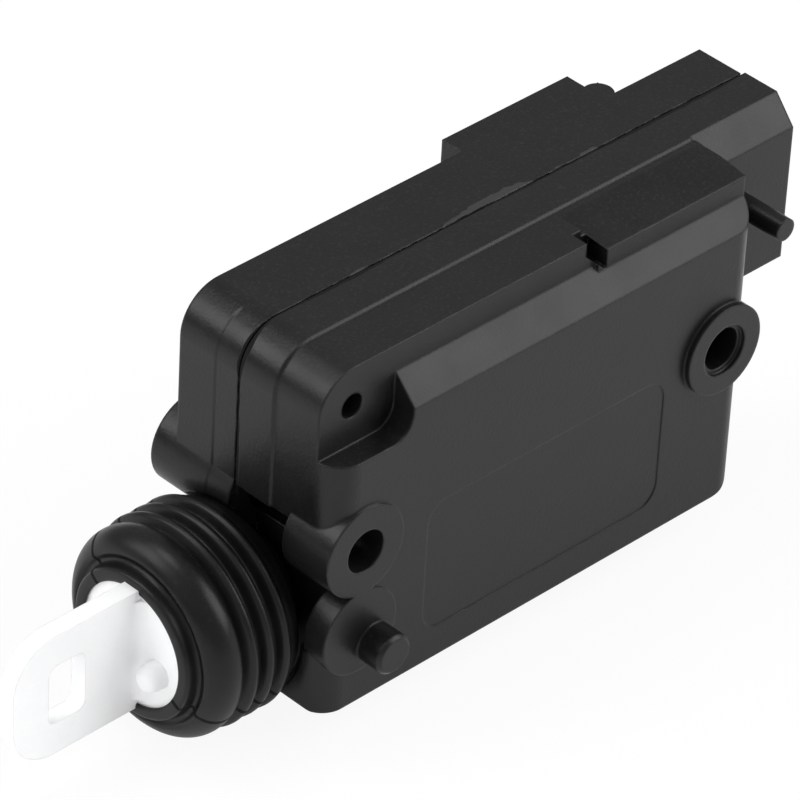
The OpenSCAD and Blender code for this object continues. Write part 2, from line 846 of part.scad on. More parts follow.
module motor_brushes() {
    color("#2c2c2e") for (side = [-1, 1])
        difference() {
            translate([motor_x, 0, motor_z]) scale_side(side)
                block([2, commutator_y + 0.1, -0.8], [4.4, commutator_end_y - 0.1, 0.8]);
            bar_y(motor_x, motor_z, commutator_y - past, can_end_y + past,
                commutator_r + brush_gap);
        }
}

// Mirror a piece to the other side of the motor axis
module scale_side(side) {
    mirror([side < 0 ? 1 : 0, 0, 0]) children();
}

module motor_terminals() {
    color("#c9b27a") for (side = [-1, 1])
        translate([0, 0, terminal_z(side)]) {
            block([motor_x + terminal_root, can_end_y + 0.9, -1],
                [terminal_x + terminal_t, can_end_y + 1.4, 1]);
            block([terminal_x, can_end_y - 3, -1],
                [terminal_x + terminal_t, can_end_y + 1, 1]);
        }
}

module motor_pad() {
    color("#2a2a2b") difference() {
        bar_y(motor_x, motor_z, bell_end_y, pad_end_y, can_r - 2.3);
        bar_y(motor_x, motor_z, bell_end_y - past, pad_end_y + past, bush_r + 0.5);
    }
}

module terminal_carrier() {
    flange = 0.5;
    face_x = right_x - wall;
    color("#222324") difference() {
        union() {
            along_x(face_x, socket_x) translate([part_y, blade_z])
                square([carrier_w, carrier_h], center = true);
            along_x(face_x - carrier_flange_t, face_x) translate([part_y, blade_z])
                square([carrier_w + 2 * flange, carrier_h + 2 * flange], center = true);
        }
        for (side = [-1, 1])
            along_x(face_x - 2 * past, socket_x + past)
                translate([part_y, terminal_z(side)])
                    square([blade_t + 0.1, blade_w + 0.1], center = true);
    }
}

// One contact: a flat blade for the plug and a leg that presses on the motor terminal
module contact_blade(side) {
    taper = 0.8;
    translate([0, 0, terminal_z(side)]) {
        along_y(part_y - blade_t / 2, part_y + blade_t / 2) polygon([
            [blade_x, -blade_w / 2], [blade_end_x - taper, -blade_w / 2],
            [blade_end_x, -blade_w / 2 + taper], [blade_end_x, blade_w / 2 - taper],
            [blade_end_x - taper, blade_w / 2], [blade_x, blade_w / 2]]);
        block([blade_x, part_y, -blade_w / 2],
            [blade_x + blade_t, can_end_y - 0.4, blade_w / 2]);
    }
}

module contact_blade_plus() {
    color("#cdb988") contact_blade(1);
}

module contact_blade_minus() {
    color("#cdb988") contact_blade(-1);
}

module front_bumper() {
    color("#1c1c1d") difference() {
        bar_x(guide_x, guide_x + bumper_t, bumper_r);
        bar_x(guide_x - past, guide_x + bumper_t + past, rod_r + free_gap);
    }
}

module rear_bumper() {
    color("#1c1c1d") difference() {
        block([stop_x - bumper_t, rack_y, rack_bottom_z],
            [stop_x, rack_back_y, axis_z + 3]);
        bar_x(stop_x - bumper_t - past, stop_x + past, 1.5);
    }
}

// Involute of the base circle, as an angle at a radius
function involute(base, r) =
    let (slope = acos(min(1, base / r))) tan(slope) * 180 / PI - slope;

// Half the angle of a tooth at a radius
function half_tooth(teeth, m, r) =
    let (pitch_r = teeth * m / 2, base = pitch_r * cos(pressure))
    (PI * m / 2 - tooth_play) / 2 / pitch_r * 180 / PI
        + involute(base, pitch_r) - involute(base, r);

function polar(r, angle) = [r * cos(angle), r * sin(angle)];

// Points round one tooth, from the root over the tip to the other root
function tooth(teeth, m, at) =
    let (pitch_r = teeth * m / 2,
        base = pitch_r * cos(pressure),
        root = pitch_r - tooth_ded * m,
        tip = pitch_r + tooth_add * m,
        start = max(base, root),
        steps = 3,
        radii = [for (i = [0 : steps]) start + (tip - start) * i / steps],
        foot = half_tooth(teeth, m, start))
    concat(
        root < base ? [polar(root, at - foot)] : [],
        [for (r = radii) polar(r, at - half_tooth(teeth, m, r))],
        [for (i = [steps : -1 : 0]) polar(radii[i], at + half_tooth(teeth, m, radii[i]))],
        root < base ? [polar(root, at + foot)] : []);

// Gear outline with one tooth centred on the given angle
module gear_outline(teeth, m, at) {
    polygon([for (i = [0 : teeth - 1])
        each tooth(teeth, m, at + i * 360 / teeth)]);
}

module gear_y(x, z, y0, y1, teeth, m, at) {
    along_y(y0, y1) translate([x, z]) gear_outline(teeth, m, at);
}

// Ring-shaped pocket in the face of a moulded wheel
module web_pocket(x, z, y0, y1, outer, inner) {
    difference() {
        bar_y(x, z, y0, y1, outer);
        bar_y(x, z, y0 - past, y1 + past, inner);
    }
}

module motor_shaft() {
    color("#c2c4c7") bar_y(motor_x, motor_z, wheel_one_y - 0.3, bell_end_y - 0.3, shaft_r);
}

module motor_pinion() {
    color("#b08d57") difference() {
        gear_y(motor_x, motor_z, wheel_one_y - 0.3, pinion_two_y + 0.3, pinion_teeth,
            module_one, mesh_one_angle + 180);
        bar_y(motor_x, motor_z, 0, can_y, shaft_r);
    }
}

// Laminated core with three poles
module armature_core() {
    shoe_r = core_r - 1.2;
    color("#8c8e91") difference() {
        along_y(core_y, core_end_y) translate([motor_x, motor_z]) {
            circle(2.4);
            for (pole = [0 : 2])
                rotate(90 + pole * 120) {
                    translate([0, -1]) square([shoe_r + 0.3, 2]);
                    difference() {
                        intersection() {
                            circle(core_r);
                            wedge(-46, 46, 2 * core_r);
                        }
                        circle(shoe_r);
                    }
                }
        }
        bar_y(motor_x, motor_z, core_y - past, core_end_y + past, shaft_r);
    }
}

// One coil of enamelled wire round each pole
module armature_windings() {
    color("#a5612c") for (pole = [0 : 2])
        translate([motor_x, 0, motor_z]) rotate([0, -90 - pole * 120, 0])
            difference() {
                block([2.55, core_y - coil_t, -2.2], [4, core_end_y + coil_t, 2.2]);
                block([2, core_y - 0.02, -1.02], [5, core_end_y + 0.02, 1.02]);
            }
}

module commutator() {
    color("#b87333") difference() {
        bar_y(motor_x, motor_z, commutator_y, commutator_end_y, commutator_r);
        bar_y(motor_x, motor_z, commutator_y - past, commutator_end_y + past, shaft_r);
        for (cut = [0 : 2])
            translate([motor_x, 0, motor_z]) rotate([0, -30 - cut * 120, 0])
                block([commutator_r - 0.5, commutator_y - past, -0.2],
                    [commutator_r + past, commutator_end_y + past, 0.2]);
    }
}

module intermediate_gear() {
    color("#e9e6da") difference() {
        union() {
            gear_y(wheel_one_x, wheel_one_z, wheel_one_y, pinion_two_y, wheel_one_teeth,
                module_one, mesh_one_angle + 180 / wheel_one_teeth);
            gear_y(wheel_one_x, wheel_one_z, pinion_two_y - 0.01, rack_pinion_y + 0.2,
                pinion_teeth, module_two, mesh_two_angle + 180);
        }
        bar_y(wheel_one_x, wheel_one_z, 0, can_y, axle_one_r + axle_fit);
        for (y = [wheel_one_y - past, pinion_two_y - 0.8])
            web_pocket(wheel_one_x, wheel_one_z, y, y + past + 0.8,
                wheel_one_r - 1.8, pinion_two_r + 1.6);
    }
}

module output_gear() {
    color("#e9e6da") difference() {
        union() {
            gear_y(wheel_two_x, wheel_two_z, wheel_two_y, rack_pinion_y, wheel_two_teeth,
                module_two, mesh_two_angle + 180 / wheel_two_teeth);
            gear_y(wheel_two_x, wheel_two_z, rack_pinion_y - 0.01, output_end_y,
                pinion_teeth, module_rack, -90);
            bar_y(wheel_two_x, wheel_two_z, wheel_one_y, wheel_two_y + past,
                axle_two_r + 1.3);
        }
        bar_y(wheel_two_x, wheel_two_z, 0, back_y, axle_two_r + axle_fit);
        for (y = [wheel_two_y - past, rack_pinion_y - 0.7])
            web_pocket(wheel_two_x, wheel_two_z, y, y + past + 0.7,
                wheel_two_r - 2, rack_pinion_r + 1.6);
    }
}

// Side view of the rack: bar and teeth
module rack_outline() {
    pitch_half = (rack_pitch / 2 - tooth_play) / 2;
    tip_half = pitch_half - tooth_add * module_rack * tan(pressure);
    root_half = pitch_half + tooth_ded * module_rack * tan(pressure);
    root_z = rack_pitch_z - tooth_ded * module_rack;
    tip_z = rack_pitch_z + tooth_add * module_rack;
    translate([rack_start_x, rack_bottom_z])
        square([rack_end_x - rack_start_x, root_z - rack_bottom_z]);
    for (i = [0 : rack_teeth - 1]) {
        x = wheel_two_x + (rack_first + i + 0.5) * rack_pitch;
        polygon([[x - root_half, root_z - 0.01], [x + root_half, root_z - 0.01],
            [x + tip_half, tip_z], [x - tip_half, tip_z]]);
    }
}

// Side view of the flat tab with its slot
module tab_outline() {
    slot_front = disc_reach + tab_l - 5.2;
    difference() {
        rounded(-disc_reach - tab_l, axis_z - tab_w / 2, -disc_reach + 0.5,
            axis_z + tab_w / 2, [tab_r, 0, 0, tab_r]);
        rounded(-slot_front, axis_z - tab_slot_h / 2, -slot_front + tab_slot_w,
            axis_z + tab_slot_h / 2, [1.2, 1.2, 1.2, 1.2]);
    }
}

module plunger() {
    disc_t = 1.5;
    neck_r = 6;
    shoulder_x = -disc_reach + 2.5;
    fillet = 1.2;
    nub_r = 1.7;
    color("#f0f1f0") {
        along_y(axis_y - tab_t / 2, axis_y + tab_t / 2) tab_outline();
        bar_x(-disc_reach, -disc_reach + disc_t, disc_r);
        bar_x(-disc_reach + disc_t, shoulder_x, neck_r);
        bar_x(shoulder_x, shoulder_x + 1.5, neck_r + 1.4);
        bar_x(shoulder_x + 1.5, rack_start_x + past, rod_r);
        along_y(rack_y, rack_back_y) rack_outline();
        for (side = [-1, 1])
            translate([-disc_reach, axis_y + side * tab_t / 2, axis_z - 7])
                linear_extrude(14) difference() {
                    translate([-fillet, side > 0 ? 0 : -fillet]) square(fillet);
                    translate([-fillet, side * fillet]) circle(fillet);
                }
        translate([-disc_reach - 1, axis_y - 4.2, axis_z - 1.7]) {
            rotate([0, 90, 0]) cylinder(h = 1.5, r = nub_r);
            sphere(nub_r);
        }
    }
}

front_shell();
rear_shell();
bellows_boot();
closing_screws();
gear_one_axle();
gear_two_axle();
motor_can();
motor_end_bell();
motor_magnets();
motor_bush_front();
motor_bush_rear();
motor_brushes();
motor_terminals();
motor_pad();
terminal_carrier();
contact_blade_plus();
contact_blade_minus();
front_bumper();
rear_bumper();
motor_shaft();
motor_pinion();
armature_core();
armature_windings();
commutator();
intermediate_gear();
output_gear();
plunger();
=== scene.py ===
"""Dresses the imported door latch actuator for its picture: boot, mouldings, metals, floor and light."""

import math

import bmesh
import bpy
from mathutils import Matrix, Vector


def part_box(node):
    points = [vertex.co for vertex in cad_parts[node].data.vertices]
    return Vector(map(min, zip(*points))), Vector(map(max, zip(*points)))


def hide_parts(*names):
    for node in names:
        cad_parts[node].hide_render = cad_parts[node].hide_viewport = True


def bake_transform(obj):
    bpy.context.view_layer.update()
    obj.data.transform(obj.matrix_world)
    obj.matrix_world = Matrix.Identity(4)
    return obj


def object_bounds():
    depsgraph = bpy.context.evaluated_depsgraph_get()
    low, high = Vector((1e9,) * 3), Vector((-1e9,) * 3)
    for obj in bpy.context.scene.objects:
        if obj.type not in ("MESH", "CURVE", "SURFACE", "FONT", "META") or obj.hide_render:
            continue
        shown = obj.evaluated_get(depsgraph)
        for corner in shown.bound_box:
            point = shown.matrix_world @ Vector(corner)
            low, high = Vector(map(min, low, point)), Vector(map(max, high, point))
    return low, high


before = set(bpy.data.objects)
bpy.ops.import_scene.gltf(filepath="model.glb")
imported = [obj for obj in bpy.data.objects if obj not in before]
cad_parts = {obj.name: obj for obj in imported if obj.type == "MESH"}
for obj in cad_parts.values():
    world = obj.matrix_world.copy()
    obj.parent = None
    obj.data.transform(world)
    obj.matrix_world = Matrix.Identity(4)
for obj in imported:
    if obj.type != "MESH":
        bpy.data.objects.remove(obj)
cad_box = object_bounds()

bl_info = {
    "name": "Door latch actuator finish",
    "version": (1, 0, 0),
    "blender": (4, 5, 0),
    "location": "View3D > Sidebar > Actuator",
    "description": "Builds the bellows, the finishes and the studio of a door latch actuator",
    "category": "Object",
}

MM = 0.001

# Flash left along the top of the joint: middle and half length along X, and breadth, in mm
FLASH = ((13.2, 2.8, 0.6), (33.5, 9.5, 1.5), (44.8, 1.4, 0.9), (49.6, 2.2, 0.9))
# Height and half height of the corner where the joint gapes, in m
GAPING_Z, GAPING_HALF = 0.0202, 0.0032
# Distance of the faint mould step behind the joint, in m
MOULD_STEP_BACK = 0.0039

# Folds of the boot: their number, and in mm their pitch, the first one's distance behind the front and
# the radius of a crest's round
FOLD_COUNT = 3
FOLD_PITCH = 2.45
FIRST_FOLD = 6.6
CREST_ROUND = 0.6
# Bulge in front of the folds, in mm: its distance behind the front and from the axis, and its own radius
BULGE_DEPTH, BULGE_RADIUS, BULGE_ROUND = 3.75, 9.9, 3.0
# Angles of the two mould seams about the boot's axis, from the rear upwards, in degrees
SEAM_ANGLES = (44.0, -153.0)
# Steps of the section on its way round the axis
SPIN_STEPS = 96

# Lamps: name, direction from the object's middle, and side of the lamp in m
LAMPS = (
    ("key_lamp", (0.59, -0.60, 0.57), 0.8),
    ("top_lamp", (-0.22, 0.28, 0.93), 0.4),
    ("rim_lamp", (-0.62, 0.50, 0.56), 0.55),
    ("fill_lamp", (-0.90, -0.18, 0.33), 0.7),
)
# Distance of every lamp from the object's middle, in m
LAMP_REACH = 1.0
# Floor, in m: its side, its middle along X and Y, and its distance under the object
FLOOR_SIZE = 1.6
FLOOR_MIDDLE = (0.02, 0.01)
FLOOR_GAP = 0.0005
# Share of plain white that the floor shows to the camera and in reflections
FLOOR_WHITE_SEEN = 0.91
FLOOR_WHITE_MIRRORED = 0.3
# Share of white that the surroundings show in reflections
SKY_WHITE_MIRRORED = 0.2


class HousingFinish(bpy.types.PropertyGroup):
    """Colours and grain of the two housing mouldings"""

    front_colour: bpy.props.FloatVectorProperty(
        name="Front moulding",
        description="Colour of the front half of the housing",
        subtype="COLOR", size=3, min=0, max=1, default=(0.0062, 0.0062, 0.0064),
    )
    rear_colour: bpy.props.FloatVectorProperty(
        name="Rear moulding",
        description="Colour of the rear half of the housing",
        subtype="COLOR", size=3, min=0, max=1, default=(0.0058, 0.0058, 0.0060),
    )
    edge_radius: bpy.props.FloatProperty(
        name="Edge radius",
        description="How far the moulded edges are rounded",
        subtype="DISTANCE", unit="LENGTH", min=0, max=0.001, default=0.00042,
    )
    grain_height: bpy.props.FloatProperty(
        name="Grain height",
        description="Depth of the fine grain of the mould",
        subtype="DISTANCE", unit="LENGTH", min=0, max=0.0002, default=0.00003,
    )


class BootFinish(bpy.types.PropertyGroup):
    """Size and colour of the rubber boot"""

    rubber_colour: bpy.props.FloatVectorProperty(
        name="Rubber",
        description="Colour of the boot",
        subtype="COLOR", size=3, min=0, max=1, default=(0.0052, 0.0052, 0.0054),
    )
    crest_radius: bpy.props.FloatProperty(
        name="Crest radius",
        description="Radius of the crests of the folds",
        subtype="DISTANCE", unit="LENGTH", min=0.0125, max=0.0134, default=0.0132,
    )
    crease_radius: bpy.props.FloatProperty(
        name="Crease radius",
        description="Radius of the creases between the folds",
        subtype="DISTANCE", unit="LENGTH", min=0.0110, max=0.0124, default=0.0117,
    )
    wall: bpy.props.FloatProperty(
        name="Wall",
        description="Thickness of the rubber",
        subtype="DISTANCE", unit="LENGTH", min=0.0004, max=0.0012, default=0.0007,
    )


class PlungerFinish(bpy.types.PropertyGroup):
    """Colour of the white plunger"""

    acetal_colour: bpy.props.FloatVectorProperty(
        name="Acetal",
        description="Colour of the natural moulding",
        subtype="COLOR", size=3, min=0, max=1, default=(0.93, 0.935, 0.94),
    )


class StudioLook(bpy.types.PropertyGroup):
    """Camera, lamps and floor"""

    camera_place: bpy.props.FloatVectorProperty(
        name="Camera place",
        description="Where the camera stands",
        subtype="TRANSLATION", unit="LENGTH", size=3, default=(-0.40250, -0.39219, 0.43169),
    )
    camera_azimuth: bpy.props.FloatProperty(
        name="Azimuth",
        description="Turn of the view from the front towards the right",
        subtype="ANGLE", unit="ROTATION", default=math.radians(-46.051),
    )
    camera_elevation: bpy.props.FloatProperty(
        name="Elevation",
        description="How far the camera looks down",
        subtype="ANGLE", unit="ROTATION", default=math.radians(36.172),
    )
    camera_roll: bpy.props.FloatProperty(
        name="Roll",
        description="Turn of the picture about the line of sight",
        subtype="ANGLE", unit="ROTATION", default=math.radians(3.246),
    )
    lens: bpy.props.FloatProperty(
        name="Lens",
        description="Focal length on a sensor 36 mm wide",
        subtype="DISTANCE_CAMERA", min=20, max=1000, default=288.4,
    )
    floor_colour: bpy.props.FloatVectorProperty(
        name="Floor",
        description="Colour of the floor",
        subtype="COLOR", size=3, min=0, max=1, default=(0.93, 0.93, 0.93),
    )
    key_power: bpy.props.FloatProperty(
        name="Key lamp",
        description="Power of the large soft lamp",
        subtype="POWER", min=0, max=50, default=7.1,
    )
    top_power: bpy.props.FloatProperty(
        name="Top lamp",
        description="Power of the lamp overhead",
        subtype="POWER", min=0, max=50, default=2.4,
    )
    fill_power: bpy.props.FloatProperty(
        name="Fill lamp",
        description="Power of the lamp on the boot's side, which shows in no reflection",
        subtype="POWER", min=0, max=50, default=2.95,
    )
    rim_power: bpy.props.FloatProperty(
        name="Rim lamp",
        description="Power of the lamp behind the boot",
        subtype="POWER", min=0, max=50, default=3.6,
    )
    sky_strength: bpy.props.FloatProperty(
        name="Sky",
        description="Strength of the pale surroundings",
        min=0, max=2, default=0.40,
    )


def new_group(name, inputs, outputs):
    """A shader node group with the given sockets, and its input and output nodes."""
    group = bpy.data.node_groups.new(name, "ShaderNodeTree")
    for label, kind, value in inputs:
        socket = group.interface.new_socket(label, in_out="INPUT", socket_type=kind)
        if value is not None:
            socket.default_value = value
    for label, kind in outputs:
        group.interface.new_socket(label, in_out="OUTPUT", socket_type=kind)
    return group, group.nodes.new("NodeGroupInput"), group.nodes.new("NodeGroupOutput")


def node(tree, kind, **settings):
    """A node of that kind with its settings made."""
    made = tree.nodes.new(kind)
    for key, value in settings.items():
        setattr(made, key, value)
    return made


def maths(tree, operation, first, second=None, clamp=False):
    """A Math node; each operand is a socket or a number. Gives its output."""
    made = node(tree, "ShaderNodeMath", operation=operation, use_clamp=clamp)
    for place, operand in enumerate((first, second)):
        if operand is None:
            continue
        if isinstance(operand, (int, float)):
            made.inputs[place].default_value = operand
        else:
            tree.links.new(operand, made.inputs[place])
    return made.outputs[0]


def ramp(tree, value, low, high, out_low=0.0, out_high=1.0):
    """Maps a value smoothly from one range to another, clamped at both ends."""
    made = node(tree, "ShaderNodeMapRange", interpolation_type="SMOOTHSTEP")
    tree.links.new(value, made.inputs["Value"])
    numbers = {"From Min": low, "From Max": high, "To Min": out_low, "To Max": out_high}
    for label, number in numbers.items():
        made.inputs[label].default_value = number
    return made.outputs["Result"]


def noise(tree, place, scale, detail=2.0):
    """A noise pattern read at a place."""
    made = node(tree, "ShaderNodeTexNoise")
    made.inputs["Scale"].default_value = scale
    made.inputs["Detail"].default_value = detail
    tree.links.new(place, made.inputs["Vector"])
    return made.outputs["Fac"]


def grain_group():
    """Mould grain: fine pits on broad, faint waves. Gives a height and a tone, both about 0.5."""
    group, start, end = new_group(
        "mould_grain",
        [("Vector", "NodeSocketVector", None), ("Pits", "NodeSocketFloat", 2600.0),
         ("Waves", "NodeSocketFloat", 160.0)],
        [("Height", "NodeSocketFloat"), ("Tone", "NodeSocketFloat")],
    )
    pits = node(group, "ShaderNodeTexVoronoi", feature="SMOOTH_F1")
    group.links.new(start.outputs["Vector"], pits.inputs["Vector"])
    group.links.new(start.outputs["Pits"], pits.inputs["Scale"])
    pits.inputs["Smoothness"].default_value = 0.6
    fine = node(group, "ShaderNodeTexNoise")
    group.links.new(start.outputs["Vector"], fine.inputs["Vector"])
    group.links.new(start.outputs["Pits"], fine.inputs["Scale"])
    fine.inputs["Detail"].default_value = 3.0
    waves = node(group, "ShaderNodeTexNoise")
    group.links.new(start.outputs["Vector"], waves.inputs["Vector"])
    group.links.new(start.outputs["Waves"], waves.inputs["Scale"])
    waves.inputs["Detail"].default_value = 4.0
    height = maths(group, "ADD", maths(group, "MULTIPLY", pits.outputs["Distance"], 0.6),
                   maths(group, "MULTIPLY", fine.outputs["Fac"], 0.4))
    group.links.new(height, end.inputs["Height"])
    tone = maths(group, "ADD", maths(group, "MULTIPLY", waves.outputs["Fac"], 0.7),
                 maths(group, "MULTIPLY", fine.outputs["Fac"], 0.3))
    group.links.new(tone, end.inputs["Tone"])
    return group


def edge_group():
    """Rounded edges: the turned normal, and a mask that is 1 on an edge and 0 on a flat."""
    group, start, end = new_group(
        "moulded_edges",
        [("Radius", "NodeSocketFloat", 0.0003)],
        [("Normal", "NodeSocketVector"), ("Edge", "NodeSocketFloat")],
    )
    rounded = node(group, "ShaderNodeBevel", samples=6)
    group.links.new(start.outputs["Radius"], rounded.inputs["Radius"])
    flat = node(group, "ShaderNodeNewGeometry")
    turned = node(group, "ShaderNodeVectorMath", operation="DOT_PRODUCT")
    group.links.new(rounded.outputs["Normal"], turned.inputs[0])
    group.links.new(flat.outputs["Normal"], turned.inputs[1])
    edge = ramp(group, turned.outputs["Value"], 0.998, 0.85)
    group.links.new(rounded.outputs["Normal"], end.inputs["Normal"])
    group.links.new(edge, end.inputs["Edge"])
    return group


def dust_group():
    """Fine dust that lies on faces turned upwards, and specks. Gives a mask."""
    group, start, end = new_group(
        "settled_dust",
        [("Vector", "NodeSocketVector", None), ("Amount", "NodeSocketFloat", 0.3)],
        [("Dust", "NodeSocketFloat")],
    )
    shape = node(group, "ShaderNodeNewGeometry")
    parts = node(group, "ShaderNodeSeparateXYZ")
    group.links.new(shape.outputs["Normal"], parts.inputs[0])
    upward = ramp(group, parts.outputs["Z"], 0.1, 1.0)
    specks = node(group, "ShaderNodeTexNoise")
    specks.inputs["Scale"].default_value = 2600.0
    specks.inputs["Detail"].default_value = 6.0
    group.links.new(start.outputs["Vector"], specks.inputs["Vector"])
    patches = ramp(group, specks.outputs["Fac"], 0.5, 0.8)
    lying = maths(group, "MULTIPLY", maths(group, "ADD", upward, 0.25), patches)
    group.links.new(maths(group, "MULTIPLY", lying, start.outputs["Amount"], clamp=True), end.inputs["Dust"])
    return group


def streak_group():
    """Drawing and grinding marks along the Y axis, as on ground pins and drawn sheet."""
    group, start, end = new_group(
        "drawn_streaks",
        [("Vector", "NodeSocketVector", None), ("Scale", "NodeSocketFloat", 3000.0)],
        [("Height", "NodeSocketFloat")],
    )
    along = node(group, "ShaderNodeMapping")
    along.inputs["Scale"].default_value = (1.0, 0.03, 1.0)
    group.links.new(start.outputs["Vector"], along.inputs["Vector"])
    lines = node(group, "ShaderNodeTexNoise")
    lines.inputs["Detail"].default_value = 3.0
    group.links.new(along.outputs["Vector"], lines.inputs["Vector"])
    group.links.new(start.outputs["Scale"], lines.inputs["Scale"])
    group.links.new(lines.outputs["Fac"], end.inputs["Height"])
    return group


def shared_groups():
    """The node groups, built once."""
    makers = {
        "mould_grain": grain_group,
        "moulded_edges": edge_group,
        "settled_dust": dust_group,
        "drawn_streaks": streak_group,
        "parting_line": parting_group,
    }
    return {name: bpy.data.node_groups.get(name) or make() for name, make in makers.items()}


def place_group(tree, name, **values):
    """One of the shared groups, placed in a material with its own values."""
    made = node(tree, "ShaderNodeGroup", node_tree=shared_groups()[name])
    for label, value in values.items():
        if isinstance(value, bpy.types.NodeSocket):
            tree.links.new(value, made.inputs[label])
        else:
            made.inputs[label].default_value = value
    return made.outputs


def blank_material(name):
    """A material with its Principled shader and Object coordinates, ready for the rest."""
    material = bpy.data.materials.new(name)
    material.use_nodes = True
    tree = material.node_tree
    tree.nodes.clear()
    shader = node(tree, "ShaderNodeBsdfPrincipled")
    out = node(tree, "ShaderNodeOutputMaterial")
    tree.links.new(shader.outputs["BSDF"], out.inputs["Surface"])
    place = node(tree, "ShaderNodeTexCoord").outputs["Object"]
    return material, tree, shader, place


def centred_place(tree, place, centre):
    """The place measured from a centre, for a pattern that goes round it."""
    made = node(tree, "ShaderNodeMapping")
    made.inputs["Location"].default_value = tuple(-centre)
    tree.links.new(place, made.inputs["Vector"])
    return made.outputs["Vector"]


def mixed_colour(tree, mask, first, second):
    """Mixes two plain colours, or a socket and a colour, by a mask."""
    made = node(tree, "ShaderNodeMix", data_type="RGBA")
    tree.links.new(mask, made.inputs["Factor"])
    for label, colour in (("A", first), ("B", second)):
        socket = next(s for s in made.inputs if s.name == label and s.type == "RGBA")
        if isinstance(colour, bpy.types.NodeSocket):
            tree.links.new(colour, socket)
        else:
            socket.default_value = (*colour, 1.0)
    return next(s for s in made.outputs if s.type == "RGBA")


def bump(tree, height, distance, strength=1.0, normal=None):
    """A Bump node that lifts the surface by a height; distance is in metres."""
    made = node(tree, "ShaderNodeBump")
    made.inputs["Strength"].default_value = strength
    made.inputs["Distance"].default_value = distance
    tree.links.new(height, made.inputs["Height"])
    if normal is not None:
        tree.links.new(normal, made.inputs["Normal"])
    return made.outputs["Normal"]


def lighter(colour, gain):
    """A colour made lighter or darker."""
    return tuple(min(1.0, channel * gain) for channel in colour)


def hump(tree, value, middle, half):
    """1 round a middle value, falling to 0 at a distance of half on either side."""
    away = maths(tree, "ABSOLUTE", maths(tree, "SUBTRACT", value, middle))
    return ramp(tree, away, half * 0.35, half, 1.0, 0.0)


def parting_group():
    """The joint line of the two shells: a ragged dark gap and the flash beside it, as two masks."""
    group, start, end = new_group(
        "parting_line",
        [("Vector", "NodeSocketVector", None), ("Plane", "NodeSocketFloat", 0.0156)],
        [("Gap", "NodeSocketFloat"), ("Flash", "NodeSocketFloat")],
    )
    parts = node(group, "ShaderNodeSeparateXYZ")
    group.links.new(start.outputs["Vector"], parts.inputs[0])
    along, up = parts.outputs["X"], parts.outputs["Z"]
    ragged = maths(group, "SUBTRACT", noise(group, start.outputs["Vector"], 520.0, 3.0), 0.5)
    slow = maths(group, "SUBTRACT", noise(group, start.outputs["Vector"], 75.0, 1.0), 0.5)
    off = maths(group, "SUBTRACT", parts.outputs["Y"], start.outputs["Plane"])
    # The line wanders by up to a quarter of a millimetre, finely and slowly
    wander = maths(group, "ADD", maths(group, "MULTIPLY", ragged, 0.0005),
                   maths(group, "MULTIPLY", slow, 0.0005))
    bent = maths(group, "ADD", off, wander)
    corner = maths(group, "MULTIPLY", hump(group, up, GAPING_Z, GAPING_HALF),
                   ramp(group, along, -0.001, 0.001, 1.0, 0.0))
    width = maths(group, "ADD", ramp(group, slow, -0.12, 0.15, 0.00017, 0.00032),
                  maths(group, "MULTIPLY", corner, 0.00030))
    gap = maths(group, "SUBTRACT", width, maths(group, "ABSOLUTE", bent))
    group.links.new(ramp(group, gap, -0.00006, 0.00006), end.inputs["Gap"])
    breadth = None
    for middle, half, broad in FLASH:
        part = maths(group, "MULTIPLY", hump(group, along, middle * MM, half * MM), broad * MM)
        breadth = part if breadth is None else maths(group, "ADD", breadth, part)
    tearing = maths(group, "ADD", maths(group, "MULTIPLY", ragged, 1.3), 0.9)
    torn = maths(group, "MULTIPLY", breadth, tearing)
    inside = maths(group, "SUBTRACT", torn, off)
    flash = maths(group, "MULTIPLY", ramp(group, inside, 0.0, 0.0002), ramp(group, off, 0.0, 0.0001))
    group.links.new(maths(group, "MULTIPLY", flash, ramp(group, up, 0.018, 0.022)), end.inputs["Flash"])
    return group


